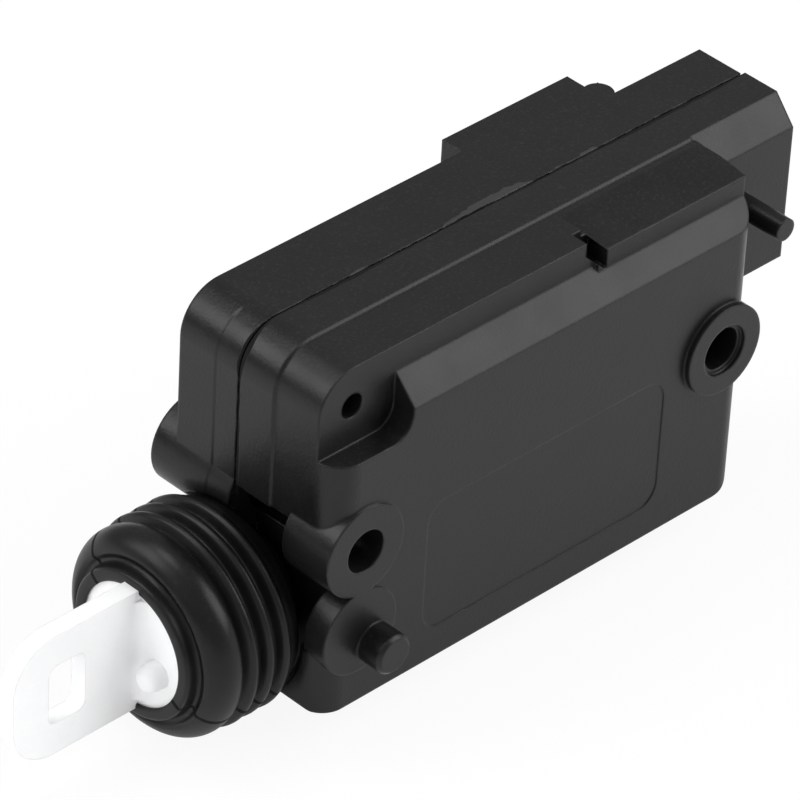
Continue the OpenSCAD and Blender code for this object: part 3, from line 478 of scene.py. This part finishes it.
def moulded_plastic(name, colour, finish, shine, joined=0.0, step=0.0):
    """Grained black plastic with a little dust, and edges made lighter: partly rubbed wear, partly a painted
    highlight.

    joined is the depth of the parting line, and step that of a faint mould step; 0 leaves them out.
    """
    material, tree, shader, place = blank_material(name)
    grain = place_group(tree, "mould_grain", Vector=place)
    edges = place_group(tree, "moulded_edges", Radius=finish.edge_radius)
    dust = place_group(tree, "settled_dust", Vector=place, Amount=0.05)
    tone = mixed_colour(tree, ramp(tree, grain["Tone"], 0.35, 0.65),
                        lighter(colour, 0.85), lighter(colour, 1.18))
    # Edges made lighter in colour along a noisy mask: partly rubbed wear, partly a painted edge highlight
    scuff_and_highlight = maths(tree, "MULTIPLY", edges["Edge"], ramp(tree, noise(tree, place, 420.0, 5.0), 0.35, 0.7))
    rubbed_and_highlit = mixed_colour(tree, maths(tree, "MULTIPLY", scuff_and_highlight, 0.5), tone, lighter(colour, 5.0))
    dusty = mixed_colour(tree, dust["Dust"], rubbed_and_highlit, (0.16, 0.157, 0.15))
    roughness = ramp(tree, grain["Tone"], 0.3, 0.7, shine - 0.04, shine + 0.06)
    polished = maths(tree, "SUBTRACT", roughness, maths(tree, "MULTIPLY", scuff_and_highlight, 0.06))
    height = grain["Height"]
    if joined:
        line = place_group(tree, "parting_line", Vector=place, Plane=joined)
        flashed = mixed_colour(tree, line["Flash"], dusty, lighter(colour, 5.5))
        dusty = mixed_colour(tree, line["Gap"], flashed, lighter(colour, 0.1))
        polished = maths(tree, "ADD", polished, maths(tree, "MULTIPLY", line["Gap"], 0.5))
        # The flash stands up by 4 grain heights, and the gap lies 10 deep
        lifted = maths(tree, "SUBTRACT", maths(tree, "MULTIPLY", line["Flash"], 4.0),
                       maths(tree, "MULTIPLY", line["Gap"], 10.0))
        height = maths(tree, "ADD", height, lifted)
    if step:
        # The step is 4 grain heights high, and runs out past the left end
        parts = node(tree, "ShaderNodeSeparateXYZ")
        tree.links.new(place, parts.inputs[0])
        ledge = maths(tree, "MULTIPLY", ramp(tree, parts.outputs["Y"], step - 0.0003, step + 0.0003),
                      ramp(tree, parts.outputs["X"], -0.002, 0.003, 1.0, 0.0))
        height = maths(tree, "ADD", height, maths(tree, "MULTIPLY", ledge, 4.0))
    tree.links.new(dusty, shader.inputs["Base Color"])
    tree.links.new(polished, shader.inputs["Roughness"])
    tree.links.new(bump(tree, height, finish.grain_height, 0.6, edges["Normal"]), shader.inputs["Normal"])
    shader.inputs["Specular IOR Level"].default_value = 0.3
    return material


def seam_mask(tree, across, up, angle):
    """1 on a thin half plane from the boot's axis at that angle, 0 away from it."""
    turn = math.radians(angle)
    side = maths(tree, "SUBTRACT", maths(tree, "MULTIPLY", across, math.sin(turn)),
                 maths(tree, "MULTIPLY", up, math.cos(turn)))
    out = maths(tree, "ADD", maths(tree, "MULTIPLY", across, math.cos(turn)),
                maths(tree, "MULTIPLY", up, math.sin(turn)))
    line = ramp(tree, maths(tree, "ABSOLUTE", side), 0.00016, 0.00038, 1.0, 0.0)
    return maths(tree, "MULTIPLY", line, ramp(tree, out, 0.0, 0.002))


def boot_rubber(name, colour, centre):
    """Soft black rubber with a bloom and the two seams that its mould left."""
    material, tree, shader, place = blank_material(name)
    grain = place_group(tree, "mould_grain", Vector=place, Pits=5200.0, Waves=210.0)
    dust = place_group(tree, "settled_dust", Vector=place, Amount=0.06)
    tone = mixed_colour(tree, ramp(tree, grain["Tone"], 0.35, 0.65),
                        lighter(colour, 0.85), lighter(colour, 1.25))
    dusty = mixed_colour(tree, dust["Dust"], tone, (0.12, 0.12, 0.118))
    parts = node(tree, "ShaderNodeSeparateXYZ")
    tree.links.new(centred_place(tree, place, centre), parts.inputs[0])
    wander = maths(tree, "MULTIPLY", maths(tree, "SUBTRACT", noise(tree, place, 260.0), 0.5), 0.0006)
    across = maths(tree, "ADD", parts.outputs["Y"], wander)
    first_seam, second_seam = (seam_mask(tree, across, parts.outputs["Z"], angle) for angle in SEAM_ANGLES)
    seams = maths(tree, "MAXIMUM", first_seam, second_seam)
    tree.links.new(mixed_colour(tree, seams, dusty, lighter(colour, 0.15)), shader.inputs["Base Color"])
    smooth = ramp(tree, grain["Tone"], 0.3, 0.7, 0.31, 0.40)
    rough_seams = maths(tree, "ADD", smooth, maths(tree, "MULTIPLY", seams, 0.45))
    tree.links.new(rough_seams, shader.inputs["Roughness"])
    height = maths(tree, "SUBTRACT", maths(tree, "MULTIPLY", grain["Height"], 0.08), seams)
    tree.links.new(bump(tree, height, 0.00015, 0.9), shader.inputs["Normal"])
    shader.inputs["Specular IOR Level"].default_value = 0.25
    return material


def natural_plastic(name, colour, clear):
    """Waxy, slightly translucent moulding such as acetal; clear is the weight of the light inside."""
    material, tree, shader, place = blank_material(name)
    grain = place_group(tree, "mould_grain", Vector=place, Pits=2600.0, Waves=110.0)
    edges = place_group(tree, "moulded_edges", Radius=0.00025)
    tone = mixed_colour(tree, ramp(tree, grain["Tone"], 0.35, 0.65),
                        lighter(colour, 0.975), lighter(colour, 1.01))
    # Painted highlight: the colour is a little lighter along the edges
    painted_edge_highlight = mixed_colour(tree, maths(tree, "MULTIPLY", edges["Edge"], 0.3), tone, lighter(colour, 1.06))
    tree.links.new(painted_edge_highlight, shader.inputs["Base Color"])
    tree.links.new(ramp(tree, grain["Tone"], 0.3, 0.7, 0.33, 0.42), shader.inputs["Roughness"])
    tree.links.new(bump(tree, grain["Height"], 0.00001, 0.5, edges["Normal"]), shader.inputs["Normal"])
    shader.inputs["Subsurface Weight"].default_value = clear
    shader.inputs["Subsurface Radius"].default_value = (0.9, 0.9, 1.0)
    shader.inputs["Subsurface Scale"].default_value = 0.0012
    return material


def drawn_metal(name, colour, roughness, scale=3000.0, marks=0.000006):
    """Plated, drawn or ground metal with fine marks."""
    material, tree, shader, place = blank_material(name)
    streaks = place_group(tree, "drawn_streaks", Vector=place, Scale=scale)
    edges = place_group(tree, "moulded_edges", Radius=0.00012)
    tone = mixed_colour(tree, streaks["Height"], lighter(colour, 0.8), lighter(colour, 1.15))
    # Painted highlight: the colour is lighter along the edges
    painted_edge_highlight = mixed_colour(tree, maths(tree, "MULTIPLY", edges["Edge"], 0.5), tone, lighter(colour, 1.3))
    tree.links.new(painted_edge_highlight, shader.inputs["Base Color"])
    tree.links.new(ramp(tree, streaks["Height"], 0.3, 0.7, roughness - 0.07, roughness + 0.08),
                   shader.inputs["Roughness"])
    tree.links.new(bump(tree, streaks["Height"], marks, 0.6, edges["Normal"]), shader.inputs["Normal"])
    shader.inputs["Metallic"].default_value = 1.0
    return material


def pressed_powder(name, colour, second, roughness, metallic):
    """Sintered metal, ferrite or carbon: two tones of fine grains."""
    material, tree, shader, place = blank_material(name)
    grains = node(tree, "ShaderNodeTexVoronoi")
    grains.inputs["Scale"].default_value = 5200.0
    tree.links.new(place, grains.inputs["Vector"])
    patches = noise(tree, place, 1400.0, 4.0)
    mask = maths(tree, "MULTIPLY", grains.outputs["Distance"], patches)
    tone = mixed_colour(tree, ramp(tree, mask, 0.1, 0.4), colour, second)
    tree.links.new(tone, shader.inputs["Base Color"])
    dull = ramp(tree, patches, 0.3, 0.7, roughness - 0.06, roughness + 0.08)
    tree.links.new(dull, shader.inputs["Roughness"])
    tree.links.new(bump(tree, grains.outputs["Distance"], 0.00002, 0.5), shader.inputs["Normal"])
    shader.inputs["Metallic"].default_value = metallic
    return material


def wound_copper(name):
    """Enamelled wire laid round the core: close turns seen as fine ribs, with painted shade where the turns
    meet.
    """
    material, tree, shader, place = blank_material(name)
    turns = node(tree, "ShaderNodeTexWave", wave_type="RINGS", rings_direction="Y")
    turns.inputs["Scale"].default_value = 900.0
    turns.inputs["Distortion"].default_value = 1.2
    turns.inputs["Detail"].default_value = 1.0
    low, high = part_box("armature_windings")
    tree.links.new(centred_place(tree, place, (low + high) / 2), turns.inputs["Vector"])
    # Painted shade: dark copper between the turns, light copper on them
    tree.links.new(mixed_colour(tree, turns.outputs["Fac"], (0.16, 0.045, 0.018), (0.62, 0.24, 0.10)),
                   shader.inputs["Base Color"])
    tree.links.new(ramp(tree, turns.outputs["Fac"], 0.0, 1.0, 0.42, 0.24), shader.inputs["Roughness"])
    tree.links.new(bump(tree, turns.outputs["Fac"], 0.00008), shader.inputs["Normal"])
    shader.inputs["Metallic"].default_value = 1.0
    return material


def stacked_sheets(name):
    """Laminated core: thin sheets stacked along the shaft, with a darker skin between them."""
    material, tree, shader, place = blank_material(name)
    sheets = node(tree, "ShaderNodeTexWave", wave_type="BANDS", bands_direction="Y", wave_profile="SIN")
    sheets.inputs["Scale"].default_value = 640.0
    tree.links.new(place, sheets.inputs["Vector"])
    gaps = ramp(tree, sheets.outputs["Fac"], 0.0, 0.25)
    tone = mixed_colour(tree, gaps, (0.10, 0.10, 0.11), (0.36, 0.37, 0.38))
    tree.links.new(tone, shader.inputs["Base Color"])
    tree.links.new(ramp(tree, noise(tree, place, 900.0), 0.3, 0.7, 0.34, 0.5), shader.inputs["Roughness"])
    tree.links.new(bump(tree, gaps, 0.00003), shader.inputs["Normal"])
    shader.inputs["Metallic"].default_value = 1.0
    return material


def soft_pad(name, colour, cells, roughness):
    """Foam or rubber with open cells of a given scale, and painted shade in the pores."""
    material, tree, shader, place = blank_material(name)
    pores = node(tree, "ShaderNodeTexVoronoi", feature="SMOOTH_F1")
    pores.inputs["Scale"].default_value = cells
    tree.links.new(place, pores.inputs["Vector"])
    # Painted shade: darker in the pores, lighter on the cell walls
    tone = mixed_colour(tree, ramp(tree, pores.outputs["Distance"], 0.1, 0.6),
                        lighter(colour, 0.6), lighter(colour, 1.3))
    tree.links.new(tone, shader.inputs["Base Color"])
    tree.links.new(ramp(tree, noise(tree, place, 700.0), 0.3, 0.7, roughness - 0.05, roughness + 0.08),
                   shader.inputs["Roughness"])
    tree.links.new(bump(tree, pores.outputs["Distance"], 0.00006, 0.7), shader.inputs["Normal"])
    return material


def dress(material, *names):
    """Gives CAD nodes that material in place of their own."""
    for name in names:
        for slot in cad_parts[name].material_slots:
            slot.material = material


def deselect():
    """Leaves nothing selected and no mode active."""
    if bpy.context.object and bpy.context.object.mode != "OBJECT":
        bpy.ops.object.mode_set(mode="OBJECT")
    bpy.ops.object.select_all(action="DESELECT")


def finished(name, material):
    """Applies the place of the active object, names it and gives it its material."""
    bpy.ops.object.mode_set(mode="OBJECT")
    bpy.ops.object.transform_apply(location=True, rotation=True, scale=True)
    piece = bpy.context.object
    piece.name = name
    piece.data.name = name
    piece.data.materials.clear()
    piece.data.materials.append(material)
    deselect()
    return piece


class ACTUATOR_OT_housing(bpy.types.Operator):
    """Finish the two housing mouldings and what is moulded in the same black"""

    bl_idname = "actuator.finish_housing"
    bl_label = "Housing mouldings"

    def execute(self, context):
        finish = context.scene.actuator_housing
        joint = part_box("rear_shell")[0].y
        front = moulded_plastic("front_moulding", finish.front_colour, finish, 0.34, joint)
        rear = moulded_plastic("rear_moulding", finish.rear_colour, finish, 0.33, joint,
                               joint + MOULD_STEP_BACK)
        carrier = moulded_plastic("carrier_moulding", lighter(finish.rear_colour, 0.9), finish, 0.4)
        dress(front, "front_shell")
        dress(rear, "rear_shell")
        dress(carrier, "terminal_carrier", "motor_end_bell")
        return {"FINISHED"}


class ACTUATOR_OT_plunger(bpy.types.Operator):
    """Finish the white plunger and the gears"""

    bl_idname = "actuator.finish_plunger"
    bl_label = "Plunger and gears"

    def execute(self, context):
        finish = context.scene.actuator_plunger
        dress(natural_plastic("plunger_acetal", finish.acetal_colour, 0.10), "plunger")
        gears = natural_plastic("gear_acetal", (0.80, 0.785, 0.73), 0.05)
        dress(gears, "intermediate_gear", "output_gear")
        return {"FINISHED"}


class ACTUATOR_OT_metals(bpy.types.Operator):
    """Finish the screws, axles, motor and contacts"""

    bl_idname = "actuator.finish_metals"
    bl_label = "Metals and motor"

    def execute(self, context):
        dress(drawn_metal("zinc_plate", (0.58, 0.59, 0.60), 0.34, 2200.0), "closing_screws")
        dress(drawn_metal("ground_steel", (0.62, 0.62, 0.63), 0.22, 6000.0, 0.000003),
              "gear_one_axle", "gear_two_axle", "motor_shaft")
        dress(drawn_metal("plated_can", (0.50, 0.51, 0.52), 0.30), "motor_can")
        dress(drawn_metal("pinion_brass", (0.70, 0.55, 0.27), 0.28, 5000.0), "motor_pinion")
        dress(drawn_metal("tinned_brass", (0.66, 0.60, 0.46), 0.27, 4000.0),
              "contact_blade_plus", "contact_blade_minus", "motor_terminals")
        dress(drawn_metal("commutator_copper", (0.72, 0.38, 0.22), 0.26, 5000.0), "commutator")
        dress(stacked_sheets("core_sheets"), "armature_core")
        dress(wound_copper("enamelled_wire"), "armature_windings")
        dress(pressed_powder("ferrite", (0.07, 0.07, 0.075), (0.15, 0.15, 0.155), 0.6, 0.0),
              "motor_magnets")
        dress(pressed_powder("sintered_bronze", (0.42, 0.26, 0.10), (0.62, 0.42, 0.2), 0.45, 1.0),
              "motor_bush_front", "motor_bush_rear")
        dress(pressed_powder("brush_carbon", (0.02, 0.02, 0.021), (0.07, 0.07, 0.07), 0.5, 0.0),
              "motor_brushes")
        dress(soft_pad("pad_foam", (0.035, 0.035, 0.036), 2600.0, 0.8), "motor_pad")
        dress(soft_pad("bumper_rubber", (0.018, 0.018, 0.019), 4200.0, 0.6),
              "front_bumper", "rear_bumper")
        return {"FINISHED"}


def arc(depth, radius, bend, start, end, steps):
    """Points of an arc in the boot's section: its centre, its radius and its two angles in degrees."""
    points = []
    for step in range(steps + 1):
        angle = math.radians(start + (end - start) * step / steps)
        points.append((depth + bend * math.cos(angle), radius + bend * math.sin(angle)))
    return points


def boot_section(crest, crease, wall, rear):
    """Points of the boot's section in mm, as distance behind its front and radius: outer wall, then inner."""
    folds = [FIRST_FOLD + FOLD_PITCH * fold for fold in range(FOLD_COUNT)]
    half = FOLD_PITCH / 2
    # Lip over the rim of the disc, with its rounded edge
    outer = [(-0.06, 8.05), (-0.08, 7.75), (-0.3, 7.7), (-0.42, 7.95), (-0.42, 8.9)]
    outer += arc(-0.02, 8.95, 0.4, 150, 90, 2)
    # Groove between the lip and the bulge, and the bulge
    outer += [(0.9, 9.38), (1.3, 9.6), (1.34, 9.95), (1.15, 10.25)]
    outer += arc(BULGE_DEPTH, BULGE_RADIUS, BULGE_ROUND, 166, 62, 12)
    # Folds, each a rounded crest, with flat creases before and between them
    outer += [(FIRST_FOLD - half - 0.15, crease + 0.1), (FIRST_FOLD - half + 0.15, crease)]
    for fold in folds:
        outer += arc(fold, crest - CREST_ROUND, CREST_ROUND, 165, 15, 6)
        if fold < folds[-1]:
            outer += [(fold + half - 0.25, crease), (fold + half + 0.25, crease)]
    # Cone behind the folds, and the neck in the housing
    outer += [(12.6, 12.75), (13.5, 12.2), (14.4, 11.75), (14.6, 11.4), (14.6, 9.0)]
    outer += [(14.65, 7.75), (14.95, 7.45), (16.4, 7.4), (rear - 0.1, 7.4), (rear, 7.2), (rear, 6.6)]
    # Back along the inner wall: neck, cone, folds, bulge and lip
    inner = [(15.3, 6.55), (14.1, 6.7), (13.9, 8.0), (13.85, 10.2), (13.4, crest - 2.2)]
    for fold in reversed(folds):
        inner += [(fold + 0.5, crest - wall - 0.5), (fold, crest - wall - 0.1),
                  (fold - 0.5, crest - wall - 0.5), (fold - half, crease - wall)]
    inner += arc(BULGE_DEPTH, BULGE_RADIUS, BULGE_ROUND - wall, 75, 170, 6)
    inner += [(1.62, 9.6), (1.6, 8.4), (1.0, 8.15)]
    return outer + inner


def draw_section(points, front, centre):
    """Draws the section as one chain of edges from its first point, and stays in edit mode."""
    here = points[0]
    start = Vector((front + here[0] * MM, centre.y, centre.z + here[1] * MM))
    bpy.ops.mesh.primitive_plane_add(size=0.5 * MM, location=start)
    bpy.ops.object.mode_set(mode="EDIT")
    bpy.ops.mesh.merge(type="CENTER")
    for point in points[1:]:
        step = ((point[0] - here[0]) * MM, 0.0, (point[1] - here[1]) * MM)
        bpy.ops.mesh.extrude_vertices_move(TRANSFORM_OT_translate={"value": step})
        here = point


def spin_section(centre):
    """Spins the chain about the boot's axis, and bridges its two ends so that the wall is closed."""
    bpy.ops.mesh.select_all(action="SELECT")
    bpy.ops.mesh.spin(steps=SPIN_STEPS, angle=math.tau, center=centre, axis=(1.0, 0.0, 0.0))
    bpy.ops.mesh.select_all(action="SELECT")
    bpy.ops.mesh.remove_doubles(threshold=0.01 * MM)
    mesh = bmesh.from_edit_mesh(bpy.context.object.data)
    for vertex in mesh.verts:
        vertex.select = False
    for edge in mesh.edges:
        edge.select = edge.is_boundary
    bmesh.update_edit_mesh(bpy.context.object.data)
    bpy.ops.mesh.bridge_edge_loops()
    bpy.ops.mesh.select_all(action="SELECT")
    bpy.ops.mesh.normals_make_consistent(inside=False)


def soften():
    """Applies one level of subdivision to the active object, and shades it smooth."""
    bpy.ops.object.mode_set(mode="OBJECT")
    softer = bpy.context.object.modifiers.new("soft_folds", "SUBSURF")
    softer.levels = softer.render_levels = 1
    bpy.ops.object.modifier_apply(modifier=softer.name)
    bpy.ops.object.shade_smooth()


class ACTUATOR_OT_boot(bpy.types.Operator):
    """Model the rubber boot: lip, bulge, three folds, cone and neck, with its inner wall"""

    bl_idname = "actuator.add_boot"
    bl_label = "Rubber boot"

    def execute(self, context):
        finish = context.scene.actuator_boot
        low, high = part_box("bellows_boot")
        front = low.x
        middle = (low + high) / 2
        centre = Vector((0.0, middle.y, middle.z))
        section = boot_section(finish.crest_radius / MM, finish.crease_radius / MM,
                               finish.wall / MM, (high.x - low.x) / MM)
        deselect()
        draw_section(section, front, centre)
        spin_section(centre)
        soften()
        rubber = boot_rubber("boot_rubber", finish.rubber_colour, centre)
        boot = finished("bellows_boot_rubber", rubber)
        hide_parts("bellows_boot")
        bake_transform(boot)
        return {"FINISHED"}


class ACTUATOR_OT_studio(bpy.types.Operator):
    """Set the pale floor, the soft lamps, the surroundings and the camera"""

    bl_idname = "actuator.set_studio"
    bl_label = "Studio"

    def execute(self, context):
        look = context.scene.actuator_studio
        self.floor(look)
        self.lamps(look)
        self.surroundings(context.scene, look)
        self.camera(context.scene, look)
        context.scene.view_settings.view_transform = "Standard"
        return {"FINISHED"}

    def floor(self, look):
        """A wide pale sheet under the object, nearly white to the camera, that keeps a faint shadow."""
        deselect()
        place_z = cad_box[0][2] - FLOOR_GAP
        bpy.ops.mesh.primitive_plane_add(size=FLOOR_SIZE, location=(*FLOOR_MIDDLE, place_z))
        bpy.ops.object.mode_set(mode="EDIT")
        bpy.ops.mesh.select_all(action="SELECT")
        bpy.ops.mesh.subdivide(number_cuts=3)
        material, tree, shader, place = blank_material("pale_floor")
        fine = noise(tree, place, 60.0, 3.0)
        tone = mixed_colour(tree, ramp(tree, fine, 0.3, 0.7), lighter(look.floor_colour, 0.99),
                            look.floor_colour)
        tree.links.new(tone, shader.inputs["Base Color"])
        shader.inputs["Roughness"].default_value = 0.9
        shader.inputs["Specular IOR Level"].default_value = 0.1
        shown = node(tree, "ShaderNodeLightPath")
        seen = maths(tree, "MAXIMUM", shown.outputs["Is Camera Ray"], shown.outputs["Is Transmission Ray"])
        share = maths(tree, "MAXIMUM", maths(tree, "MULTIPLY", seen, FLOOR_WHITE_SEEN),
                      maths(tree, "MULTIPLY", shown.outputs["Is Glossy Ray"], FLOOR_WHITE_MIRRORED))
        white = node(tree, "ShaderNodeEmission")
        white.inputs["Strength"].default_value = 1.0
        mix = node(tree, "ShaderNodeMixShader")
        tree.links.new(share, mix.inputs["Fac"])
        tree.links.new(shader.outputs["BSDF"], mix.inputs[1])
        tree.links.new(white.outputs["Emission"], mix.inputs[2])
        out = next(n for n in tree.nodes if n.type == "OUTPUT_MATERIAL")
        tree.links.new(mix.outputs["Shader"], out.inputs["Surface"])
        finished("studio_floor", material)

    def lamps(self, look):
        """A lamp right of the camera, one overhead, one behind the boot and a fill on the boot's side."""
        middle = (Vector(cad_box[0]) + Vector(cad_box[1])) / 2
        powers = (look.key_power, look.top_power, look.rim_power, look.fill_power)
        for (name, way, size), power in zip(LAMPS, powers):
            data = bpy.data.lights.new(name, "AREA")
            data.shape = "SQUARE"
            data.size = size
            data.energy = power
            lamp = bpy.data.objects.new(name, data)
            bpy.context.scene.collection.objects.link(lamp)
            away = Vector(way).normalized()
            lamp.location = middle + away * LAMP_REACH
            lamp.rotation_euler = away.to_track_quat("Z", "Y").to_euler()
            lamp.visible_glossy = name != "fill_lamp"

    def surroundings(self, scene, look):
        """Pale grey all round for light, darker low down, and white where the camera looks past the floor."""
        world = scene.world or bpy.data.worlds.new("surroundings")
        scene.world = world
        world.use_nodes = True
        tree = world.node_tree
        tree.nodes.clear()
        shown = node(tree, "ShaderNodeLightPath")
        seen = maths(tree, "MAXIMUM", shown.outputs["Is Camera Ray"], shown.outputs["Is Transmission Ray"])
        mirrored = maths(tree, "MULTIPLY", shown.outputs["Is Glossy Ray"], SKY_WHITE_MIRRORED)
        part = maths(tree, "MAXIMUM", seen, mirrored)
        strength = maths(tree, "ADD", maths(tree, "MULTIPLY", part, 1.0 - look.sky_strength),
                         look.sky_strength)
        ways = node(tree, "ShaderNodeSeparateXYZ")
        tree.links.new(node(tree, "ShaderNodeTexCoord").outputs["Generated"], ways.inputs[0])
        rising = ramp(tree, ways.outputs["Z"], -0.05, 0.5, 0.3, 1.0)
        strength = maths(tree, "MULTIPLY", strength, maths(tree, "MAXIMUM", rising, seen))
        sky = node(tree, "ShaderNodeBackground")
        sky.inputs["Color"].default_value = (1.0, 1.0, 1.0, 1.0)
        tree.links.new(strength, sky.inputs["Strength"])
        out = node(tree, "ShaderNodeOutputWorld")
        tree.links.new(sky.outputs["Background"], out.inputs["Surface"])

    def camera(self, scene, look):
        """The photograph's view: place, turn, roll and lens."""
        data = bpy.data.cameras.new("photo_view")
        data.lens = look.lens
        data.sensor_width = 36.0
        data.clip_start, data.clip_end = 0.01, 20.0
        turn = Matrix.Rotation(look.camera_azimuth, 3, "Z")
        tilt = Matrix.Rotation(math.pi / 2 - look.camera_elevation, 3, "X")
        roll = Matrix.Rotation(look.camera_roll, 3, "Z")
        view = bpy.data.objects.new("photo_view", data)
        scene.collection.objects.link(view)
        view.matrix_world = Matrix.Translation(look.camera_place) @ (turn @ tilt @ roll).to_4x4()
        scene.camera = view


class ACTUATOR_PT_panel(bpy.types.Panel):
    """Steps and settings of the actuator's finish"""

    bl_idname = "ACTUATOR_PT_panel"
    bl_label = "Door latch actuator"
    bl_space_type = "VIEW_3D"
    bl_region_type = "UI"
    bl_category = "Actuator"

    def draw(self, context):
        layout = self.layout
        for settings, operator in PANEL_ROWS:
            box = layout.box()
            if settings:
                group = getattr(context.scene, settings)
                for key in group.__annotations__:
                    box.prop(group, key)
            box.operator(operator)


SETTINGS = {
    "actuator_housing": HousingFinish,
    "actuator_boot": BootFinish,
    "actuator_plunger": PlungerFinish,
    "actuator_studio": StudioLook,
}
PANEL_ROWS = (
    ("actuator_housing", "actuator.finish_housing"),
    ("actuator_plunger", "actuator.finish_plunger"),
    (None, "actuator.finish_metals"),
    ("actuator_boot", "actuator.add_boot"),
    ("actuator_studio", "actuator.set_studio"),
)
CLASSES = (
    ACTUATOR_OT_housing,
    ACTUATOR_OT_plunger,
    ACTUATOR_OT_metals,
    ACTUATOR_OT_boot,
    ACTUATOR_OT_studio,
    ACTUATOR_PT_panel,
)


def register():
    """Makes the settings, the operators and the panel known."""
    for name, group in SETTINGS.items():
        bpy.utils.register_class(group)
        setattr(bpy.types.Scene, name, bpy.props.PointerProperty(type=group))
    for item in CLASSES:
        bpy.utils.register_class(item)


def unregister():
    """Takes back what register made known."""
    for item in reversed(CLASSES):
        bpy.utils.unregister_class(item)
    for name, group in SETTINGS.items():
        delattr(bpy.types.Scene, name)
        bpy.utils.unregister_class(group)


def main():
    """Runs every step in order."""
    register()
    bpy.ops.actuator.finish_housing()
    bpy.ops.actuator.finish_plunger()
    bpy.ops.actuator.finish_metals()
    bpy.ops.actuator.add_boot()
    bpy.ops.actuator.set_studio()


if __name__ == "__main__":
    main()
